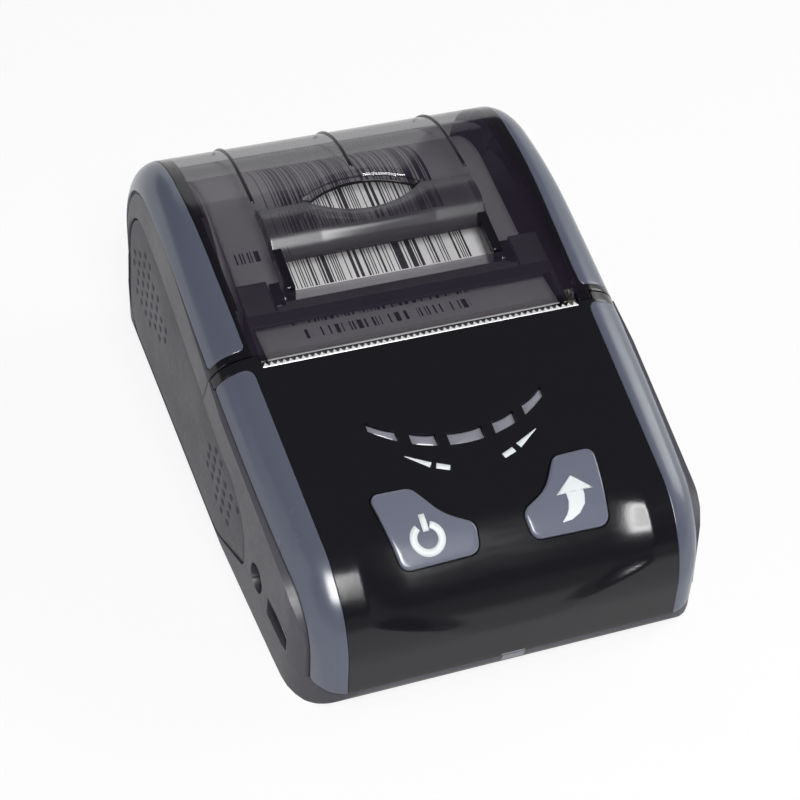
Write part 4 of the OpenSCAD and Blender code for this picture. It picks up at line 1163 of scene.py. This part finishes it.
def make_lid_cover():
    """Grid from the hinge over the top to the lid's front edge, without the opening and what strips cover."""
    opening = LEVER_HALF + LID_GAP
    left, flat, right = cover_columns(np.array([-opening, -LENS_HALF, LENS_HALF, opening]) / LID_HALF, 0.7)
    rows = length_at_y([BEND_REAR, OPEN_FRONT, TRIM_FRONT] + [OPEN_REAR + step for step in RIM_ROWS])
    s = with_marks(length_at_rear(LID_REAR), length_at_y(LID_FRONT), 0.6, rows)
    x = np.concatenate([left * 0 + OUTSIDE, flat * LID_HALF, right * 0 + OUTSIDE])
    points = cover_points(lid_lengths(s, x), left, flat, right, rim_fillet)
    row_y = at_length((s[:-1] + s[1:]) / 2)[0][:, None]
    flat_zone, fold = face_columns(left, flat, right)
    hole = (row_y < OPEN_REAR) & (row_y > OPEN_FRONT) & (np.abs(x[:-1] + x[1:]) / 2 < opening)
    keep = (flat_zone & ~hole) | (~flat_zone & (row_y < TRIM_FRONT))
    keep |= fold & (row_y < TRIM_FRONT + FILL_REACH)
    y = at_length(s)[0][:, None]
    points[..., 2] -= FILL_DEPTH * ((y > TRIM_FRONT + 0.01) & (np.abs(points[..., 0]) > cover_half(y)))
    piece = sheet("lid_window", points, SMOKE, keep)
    piece.data.materials.append(SMOKE_EDGE)
    at_edge = np.abs(face_centres(points)[..., 0])[keep] > EDGE_FROM
    piece.data.polygons.foreach_set("material_index", at_edge.astype(np.int32))
    return piece


lid_cover = mount(soften(wall(make_lid_cover(), COVER_WALL), 0.3, limit=50), "lid", "smoke", "lid_cover")
print("lid cover", len(lid_cover.data.polygons), "faces before its wall")

# %% [markdown]
# ## Ribs and rim
# Three slim ribs run over the top, from just behind the summit to the front. Clear plastic looks dark along
# its edges, because there the eye looks through more of it, so the ribs and the lining of the finger hole
# get a denser smoke.
# %% Ribs on the lid
RIBS = [(-21.1, 25.9), (0.0, 31.4), (21.1, 25.9)]
RIB_HALF, RIB_HEIGHT, RIB_SINK, RIB_FADE, RIB_REAR = 0.36, 0.42, 0.03, 1.2, 37.5


def rib_points(middle, front_y):
    """Half round rib: an ellipse's upper half carried along the outline, sinking to nothing at its ends."""
    start, end = length_at_rear(RIB_REAR), length_at_y(front_y)
    s = np.linspace(start, end, 110)[:, None]
    angle = np.linspace(np.pi, 0, 11)[None, :]
    height = RIB_HEIGHT * np.sqrt(np.clip((end - s) / RIB_FADE, 0, 1) * np.clip((s - start) / RIB_FADE, 0, 1))
    return skin(s, middle + RIB_HALF * np.cos(angle), -height * np.sin(angle) + RIB_SINK)


for k, (middle, front_y) in enumerate(RIBS):
    rib = sheet(f"lid_rib_{k}", rib_points(middle, front_y), SMOKE_EDGE)
    mount(soften(wall(rib, 0.2), 0), "lid", "smoke")


def top_z(y):
    """Height of the lid's outer face at y on its slope and its rounded summit."""
    return np.interp(y, PROFILE[SUMMIT:, 0][::-1], PROFILE[SUMMIT:, 1][::-1])


def lining_points():
    """Lining of the hole's rear rim: rows down the wall, columns round the arc."""
    depth = np.array([1.45, 1.6, 1.8, 2.0])[:, None]
    x = np.linspace(-LENS_HALF + 0.2, LENS_HALF - 0.2, 60) + 0 * depth
    y = lens_rim(x, 1) - 0.05
    return np.stack([x, y, top_z(y) - depth], -1)


lining = sheet("rim_lining", lining_points(), SMOKE_EDGE)
mount(soften(wall(lining, 0.15), 0), "lid", "smoke")
print(len(RIBS), "ribs")

# %% [markdown]
# ## The lever
# The lever is a low bar across the opening, raised above the cover, with arms at its ends that turn on two
# pins. The bar is one closed profile carried along x; where the finger hole bites into its rear edge, the
# profile is squeezed towards the front.
# %% Lever
LEVER_FRONT, LEVER_REAR = 13.3, 24.1
LEVER_PROFILE = [
    (LEVER_REAR, 0.2, 0.5), (20.5, -1.04, 7), (18, -1.3, 6), (15.6, -0.91, 2.6), (14, 0.4, 2.4),
    (LEVER_FRONT, 1.9, 1.6), (LEVER_FRONT, 3, 0.3), (15, 2.9, 1.5), (19, 2.5, 4), (LEVER_REAR, 2.4, 0.4),
]
LEVER_ARM = [(14.5, -0.3), (7.6, -0.25), (5.3, -0.2), (4.8, -3.1), (5.4, -4.3), (6.8, -4.0), (14.5, -2.9)]
ARM_WIDTH, EASE_FROM, EASE_TO, EASE_LENGTH = 1.8, 14.5, 34.0, 170.0


def lid_top(y):
    """Height of the lid's top over the lever: the slope, eased off behind its first part by a parabola."""
    return np.minimum(slope_z(y), TOP_Z) - (np.clip(y, EASE_FROM, EASE_TO) - EASE_FROM) ** 2 / EASE_LENGTH


def make_lever_bar():
    """Profile carried along x, its y shared out between the front edge and the rear edge or the hole."""
    profile = rounded(LEVER_PROFILE, 7)[::-1]
    x = with_marks(-LEVER_HALF, LEVER_HALF, 0.35, [-LENS_HALF, LENS_HALF])[:, None]
    rear = np.where(np.abs(x) < LENS_HALF, np.minimum(lens_rim(x, -1), LEVER_REAR), LEVER_REAR)
    squeeze = (rear - LEVER_FRONT) / (LEVER_REAR - LEVER_FRONT)
    y = LEVER_FRONT + (profile[:, 0] - LEVER_FRONT) * squeeze
    return tube("lever_bar", np.stack([x + 0 * y, y, lid_top(y) - profile[:, 1]], -1), SMOKE_THICK_SHADED)


def crosswise(name, outline, x0, x1, material, radius):
    """Prism across the printer with rounded edges, from an outline of y and z points and its two ends."""
    return soften(tube(name, prism(outline, *sorted((x0, x1)), 0), material), radius)


lever_bar = mount(soften(make_lever_bar(), 0.3, limit=50), "lever", "smoke", "lid_lever")
arm_y, drop = np.array(LEVER_ARM[::-1]).T
ARM = np.stack([arm_y, lid_top(arm_y) + drop], -1)
for side, word in SIDES:
    ends = side * LEVER_HALF, side * (LEVER_HALF - ARM_WIDTH)
    mount(crosswise(f"lever_arm_{word}", ARM, *ends, SMOKE_EDGE, 0.25), "lever", "smoke")
print("lever", len(lever_bar.data.polygons), "faces")

# %% [markdown]
# ## Below the cover
# The lid's own inner features ride with it: the barrel round the hinge pin, the two lugs that hold the
# lever's pins, the ears and the visor that carry the platen, and the small tongue that closes the notch over
# the platen gear.
# %% Lid fittings
HINGE, BARREL_RADIUS, PIVOT_Z = np.array([56.9, 14.5]), 2.6, 37.6
CARRIER_FRONT, CARRIER_REAR, CARRIER_DEPTHS = 2.3, 9.4, (2.06, 3.0)
LUG_FRONT, LUG_REAR, LUG_DEPTH, LUG_SHOULDER = 3.4, 8.6, 1.9, 1.2


def turned(profile, axis, segments):
    """Closed profile of x and radius turned about an axis along x through a y and z point."""
    angle = np.linspace(0, 2 * np.pi, segments, endpoint=False)[:, None]
    x, radius = profile.T
    return np.stack([x + 0 * angle, axis[0] + radius * np.cos(angle), axis[1] + radius * np.sin(angle)], -1)


def sleeve(name, x0, x1, inner, outer, axis, material, segments=64, chamfer=0.25):
    """Round sleeve with small chamfers at its outer ends."""
    half = np.array([(x0, inner), (x0, outer - chamfer), (x0 + chamfer, outer)])
    other = np.array([(x1 - chamfer, outer), (x1, outer - chamfer), (x1, inner)])
    return tube(name, turned(np.concatenate([half, other]), axis, segments), material, close_rows=True)


def below_slope(front, rear, top, bottom):
    """Outline of y and z points between two places on the slope and two depths below it."""
    y = np.array([front, rear, rear, front])
    return np.stack([y, slope_z(y) - np.array([bottom, bottom, top, top])], -1)


LUG = np.array([
    (LUG_FRONT, slope_z(LUG_FRONT) - LUG_DEPTH), (LUG_REAR, slope_z(LUG_REAR) - LUG_DEPTH),
    (LUG_REAR, PIVOT_Z - LUG_SHOULDER), (6.9, PIVOT_Z - LUG_DEPTH), (5.1, PIVOT_Z - LUG_DEPTH),
    (LUG_FRONT, PIVOT_Z - LUG_SHOULDER),
])
EAR = below_slope(CARRIER_FRONT, CARRIER_REAR, *CARRIER_DEPTHS)
VISOR = below_slope(CARRIER_FRONT, OPEN_FRONT - 0.1, *CARRIER_DEPTHS)
TONGUE = below_slope(NOTCH_FRONT + 0.3, LID_FRONT + 0.3, 0.08, 1.5)
PAIRS = [
    ("lever_lug", LUG, 21.4, 23.4, SMOKE_EDGE, 0.25, "smoke"),
    ("carrier_ear", EAR, 23.6, 29.4, INNER_BLACK, 0.2, "black_plastic"),
]
mount(soften(sleeve("lid_barrel", -33.9, 33.9, 1.05, BARREL_RADIUS, HINGE, SMOKE), 0), "lid", "smoke")
for name, outline, near, far, material, radius, slot in PAIRS:
    for side, word in SIDES:
        mount(crosswise(f"{name}_{word}", outline, side * near, side * far, material, radius), "lid", slot)
mount(crosswise("gear_tongue", TONGUE, 30.5, 32.95, SMOKE_EDGE, 0.15), "lid", "smoke")
mount(crosswise("carrier_visor", VISOR, -23.4, 23.4, INNER_BLACK, 0.1), "lid", "black_plastic")
print("barrel, lugs, ears, visor and tongue on the lid")

# %% [markdown]
# ## Grip panels
# A leaf-shaped panel is let into each side. It is a grid between the leaf's lower and upper edge, gently
# crowned, with two patches of small dimples for the fingertips. The dimples lie on a slanted lattice, and
# each one lowers the grid like a small bell curve.
# %% Leaf
LEAF_CORNERS = [
    (52.8, 1.6, 7), (52.8, 33.6, 13), (27, 31.2, 80), (-29.5, 21.6, 12), (-29.2, 8.5, 3.5), (-12, 1.6, 14),
]
LEAF_GAP, LEAF_DEPTH, LEAF_WALL, LEAF_CROWN, CROWN_FADE = 0.12, 0.5, 1.2, 0.3, 120
LEAN = np.tan(np.radians(2.6))
REAR_PATCH = [(49.6, 21.2), (43.1, 26.6), (36.8, 28.4), (22.5, 21.8), (22.2, 16.4), (37.5, 11.2), (46.6, 12.6)]
FRONT_PATCH = [(-4.0, 15.5), (-8.0, 18.6), (-13.4, 22.4), (-24.5, 18.4), (-22.2, 8.9), (-12.4, 10.0)]
PATCHES = [((47.4, 21.8), 1.0, REAR_PATCH), ((-7.6, 16.1), 0.94, FRONT_PATCH)]
LATTICE = np.array([(-4.05, 2.55), (-3.45, -0.15)])
DIMPLE_RADIUS, DIMPLE_DEPTH = 0.68, 0.38


def side_x(y, z):
    """Half width of the side wall: the plan's taper and rear corner, less the wall's lean."""
    plan = np.interp(y, [-59.5, -16, 59.5], [37.75, 40.1, 40.0]) - np.maximum(y - 51.5, 0) ** 2 / 16
    return plan - LEAN * (z - 10)


def in_patch(points, patch):
    """Whether points lie inside a polygon: an odd number of its sides crosses the ray to the right."""
    patch = np.array(patch)
    following = np.roll(patch, -1, 0)
    y, z = points[:, None, 0], points[:, None, 1]
    spans = (patch[:, 1] > z) != (following[:, 1] > z)
    run, rise = (following - patch).T
    crossing = patch[:, 0] + (z - patch[:, 1]) * run / (rise + 1e-9)
    return (spans & (y < crossing)).sum(1) % 2 == 1


def dimple_places():
    """Slanted lattice of places in each patch: a start plus whole steps along the two lattice directions."""
    steps = np.stack(np.meshgrid(np.arange(-14, 15), np.arange(-14, 15)), -1).reshape(-1, 2) @ LATTICE
    grids = [(np.array(start) + scale * steps, patch) for start, scale, patch in PATCHES]
    return np.concatenate([places[in_patch(places, patch)] for places, patch in grids])


DIMPLES = dimple_places()
print(len(DIMPLES), "dimples on each side")

# %% Grip panels
def make_leaf(side):
    """Grid from the leaf's front to its rear and from its lower to its upper edge: crown less dimples."""
    edge = rounded(inset(LEAF_CORNERS, LEAF_GAP), 40)
    first, last = edge[:, 0].argmin(), edge[:, 0].argmax()
    front, rear = edge[first, 0], edge[last, 0]
    loop, turn = np.roll(edge, -first, 0), (last - first) % len(edge)
    even = np.linspace(0, 1, 250)
    y = front + (rear - front) * (0.25 * (1 - np.cos(np.pi * even)) / 2 + 0.75 * even)
    halves = loop[: turn + 1], loop[turn:][::-1]
    z0, z1 = (np.interp(y, np.maximum.accumulate(half[:, 0]), half[:, 1])[:, None] for half in halves)
    way = np.linspace(0, 1, 96)
    z = z0 + (z1 - z0) * way
    y = np.broadcast_to(y[:, None], z.shape)
    crown = LEAF_CROWN * (1 - (2 * way - 1) ** 4) * np.clip((y - front) * (rear - y) / CROWN_FADE, 0, 1)
    away = np.hypot(y[..., None] - DIMPLES[:, 0], z[..., None] - DIMPLES[:, 1])
    dimples = DIMPLE_DEPTH * np.exp(-((away / DIMPLE_RADIUS) ** 4)).sum(-1)
    return np.stack([side * (side_x(y, z) - LEAF_DEPTH + crown - dimples), y, z], -1)


for side, word in SIDES:
    leaf = sheet(f"grip_leaf_{word}", make_leaf(side), GRIP_PLASTIC, flip=side < 0)
    mount(soften(wall(leaf, LEAF_WALL), 0.2, limit=60), "housing", "grip_grey", f"grip_panel_{word}")
print("two grip leaves")

# %% [markdown]
# ## Tear bar
# The tear bar is a folded steel strip with a row of teeth along the paper exit. The teeth come from a grid
# whose rear row zigzags between the roots and the tips.
# %% Tear bar
TEETH, TOOTH_ROOT, TOOTH_TIP, BLADE_FRONT, BLADE_HALF = 52, -10.22, -9.4, -10.36, 30.0
BLADE_SINK, BLADE_BEND, BLADE_FOOT, BLADE_WALL = 0.02, 0.1, 3.0, 0.4


def tear_bar_points():
    """Rows from the teeth to the front edge and down the folded foot; odd columns are tips, even are roots."""
    x = np.linspace(-BLADE_HALF, BLADE_HALF, 2 * TEETH + 1)
    rear = np.where(np.arange(len(x)) % 2 == 1, TOOTH_TIP, TOOTH_ROOT)
    front = np.full(len(x), BLADE_FRONT)
    rows = [(rear, 0), (front + BLADE_BEND, 0), (front, BLADE_BEND), (front, BLADE_FOOT)]
    return np.stack([np.stack([x, y, slope_z(y) - BLADE_SINK - drop], -1) for y, drop in rows])


# The blade's light finish is painted highlight on steel, not lamp light.
tear_bar = sheet("tear_blade", tear_bar_points(), BLADE_STEEL_PAINTED_GLINT)
mount(soften(wall(tear_bar, BLADE_WALL), 0.03, 2, 30), "housing", "bright_steel", "tear_bar")
print(TEETH, "teeth")

# %% [markdown]
# ## Paper
# The roll is a wound ring that turns on nothing but its own cradle. Its print is laid back over it, a thin
# sheet that follows the roll and then sags towards the exit.
# %% Roll, core and receipt
RECEIPT_RADIUS, RECEIPT_HALF, RECEIPT_WALL, RIPPLE = 19.0, 28.0, 0.12, 0.05
RECEIPT_AHEAD = [(20, 37.65), (9, 35.45), (-1, 35.05), (-6.6, 35.0)]
SMOOTHING = 15


def make_roll():
    """Ring whose ends step slightly in and out, as wound layers do: two sine waves by the radius."""
    radius = np.linspace(CORE_RADIUS + 0.05, ROLL_RADIUS - 0.1, 26)
    stagger = 0.07 * np.sin(radius * 9.1) + 0.05 * np.sin(radius * 23.7)
    left = np.stack([-PAPER_HALF + 0.15 + stagger, radius], -1)
    outer = np.array([(-PAPER_HALF + 0.1, ROLL_RADIUS), (PAPER_HALF - 0.1, ROLL_RADIUS)])
    return turned(np.concatenate([left, outer, left[::-1] * [-1, 1]]), ROLL_AXIS, 120)


def make_receipt():
    """Sheet over the roll's crown, then through the points ahead: a moving mean of heights, and a ripple."""
    angle = np.radians(np.arange(36, 97, 2.0))
    over = ROLL_AXIS + RECEIPT_RADIUS * np.stack([np.cos(angle), np.sin(angle)], -1)
    s, path = walk(np.concatenate([over, RECEIPT_AHEAD]), 130)
    y, z = path.T
    kernel = np.hanning(SMOOTHING) / np.hanning(SMOOTHING).sum()
    z = np.concatenate([z[: SMOOTHING // 2], np.convolve(z, kernel, "valid"), z[-(SMOOTHING // 2) :]])
    x = np.linspace(-RECEIPT_HALF, RECEIPT_HALF, 57)
    z = z[:, None] + RIPPLE * np.sin(x / 4.1) * np.sin(s[:, None] / 7.3)
    return np.stack([x + 0 * z, y[:, None] + 0 * z, z], -1)


mount(soften(tube("wound_roll", make_roll(), ROLL_PAPER, close_rows=True), 0), "roll", "paper", "paper_roll")
core = sleeve("roll_core", -PAPER_HALF, PAPER_HALF, CORE_RADIUS - 1, CORE_RADIUS, ROLL_AXIS, CARD)
mount(soften(core, 0), "roll", "card", "paper_core")
receipt = sheet("receipt", make_receipt(), SHADED_PRINTED_PAPER)
mount(soften(wall(receipt, RECEIPT_WALL), 0), "lid", "paper", "printed_strip")
print("roll, core and receipt")

# %% [markdown]
# ## The platen
# The driven roller is ground rubber on a steel shaft. Both are turned shapes with eased ends.
# %% Platen
PLATEN_AXIS, PLATEN_HALF, PLATEN_RADIUS, SHAFT_RADIUS = np.array([-5.3, 30.3]), 28, 4.0, 1.5
SHAFT_PROFILE = np.array([
    (-31.6, 0), (-31.6, 1.2), (-31.3, SHAFT_RADIUS), (32.9, SHAFT_RADIUS), (33.2, 1.2), (33.2, 0),
])


def make_shaft():
    """Shaft turned from its profile; the points on the axis merge into one at each end."""
    points = turned(SHAFT_PROFILE, PLATEN_AXIS, 32)
    faces = list(grid_faces(*points.shape[:2], True, False).reshape(-1, 4))
    return add_mesh("platen_spindle", points.reshape(-1, 3), faces, PLAIN_STEEL, merge=True)


ends = -PLATEN_HALF, PLATEN_HALF
roller = sleeve("platen_sleeve", *ends, SHAFT_RADIUS, PLATEN_RADIUS, PLATEN_AXIS, RUBBER, 72, 0.35)
mount(soften(roller, 0), "platen", "rubber", "platen_rubber")
mount(soften(make_shaft(), 0), "platen", "steel", "platen_shaft")
print("platen turned")

# %% [markdown]
# ## The solids that stay
# The remaining solids already have their real shape. Each keeps its mesh and gets a material, edges rounded
# in millimetres where a mould or a tool would leave them so, and even shading.
# %% Dressing the frame's solids
DRESS = {
    SIDE_PLASTIC: {"upper_shell": 0.5, "lid_side_left": 0.5, "lid_side_right": 0.5},
    BASE_PLASTIC: {"bottom_shell": 0.4, "battery_door": 0.25},
    INNER_BLACK: {"dc_jack": 0.2, "paper_sensor": 0.15, "roll_cradle": 0.1, "platen_carrier": 0.12},
    PLAIN_STEEL: {
        "head_springs": 0.05, "mechanism_frame": 0.12, "stepper_motor": 0.25, "usb_socket": 0.15,
        "hinge_pin": 0.15, "case_screws": 0.15, "lever_pins": 0.1,
    },
    ALUMINIUM: {"head_heatsink": 0.1},
    BRASS: {"motor_pinion": 0.04, "battery_contacts": 0.08},
    CERAMIC: {"print_head": 0.1},
    GEAR_PLASTIC: {"reduction_gear": 0.05, "platen_gear": 0.05},
    BUSH_PLASTIC: {"platen_bushes": 0.1},
    BOARD: {"main_board": 0.08, "key_board": 0.08, "led_board": 0.08},
    SHRINK_FILM: {"battery_pack": 0.5},
    RIBBON: {"head_cable": 0.03},
    FOOT_RUBBER: {"rubber_feet": 0.15},
    PLAIN_PAPER: {"paper_web": 0.0},
}


def dress(node, material, radius):
    """Material, joined corners, rounded edges and even shading on a solid of the frame."""
    solid = nodes[node]
    solid.data.materials.clear()
    solid.data.materials.append(material)
    solid.data.shade_smooth()
    weld = solid.modifiers.new("joined corners", "WELD")
    weld.merge_threshold = 0.001 * MM
    soften(solid, radius, 3, 32)


dressed = {node: (material, radius) for material, radii in DRESS.items() for node, radius in radii.items()}
for node, (material, radius) in dressed.items():
    dress(node, material, radius)
left_over = [name for name, solid in nodes.items() if name not in dressed and not solid.hide_render]
print(len(dressed), "solids dressed, left over:", left_over)
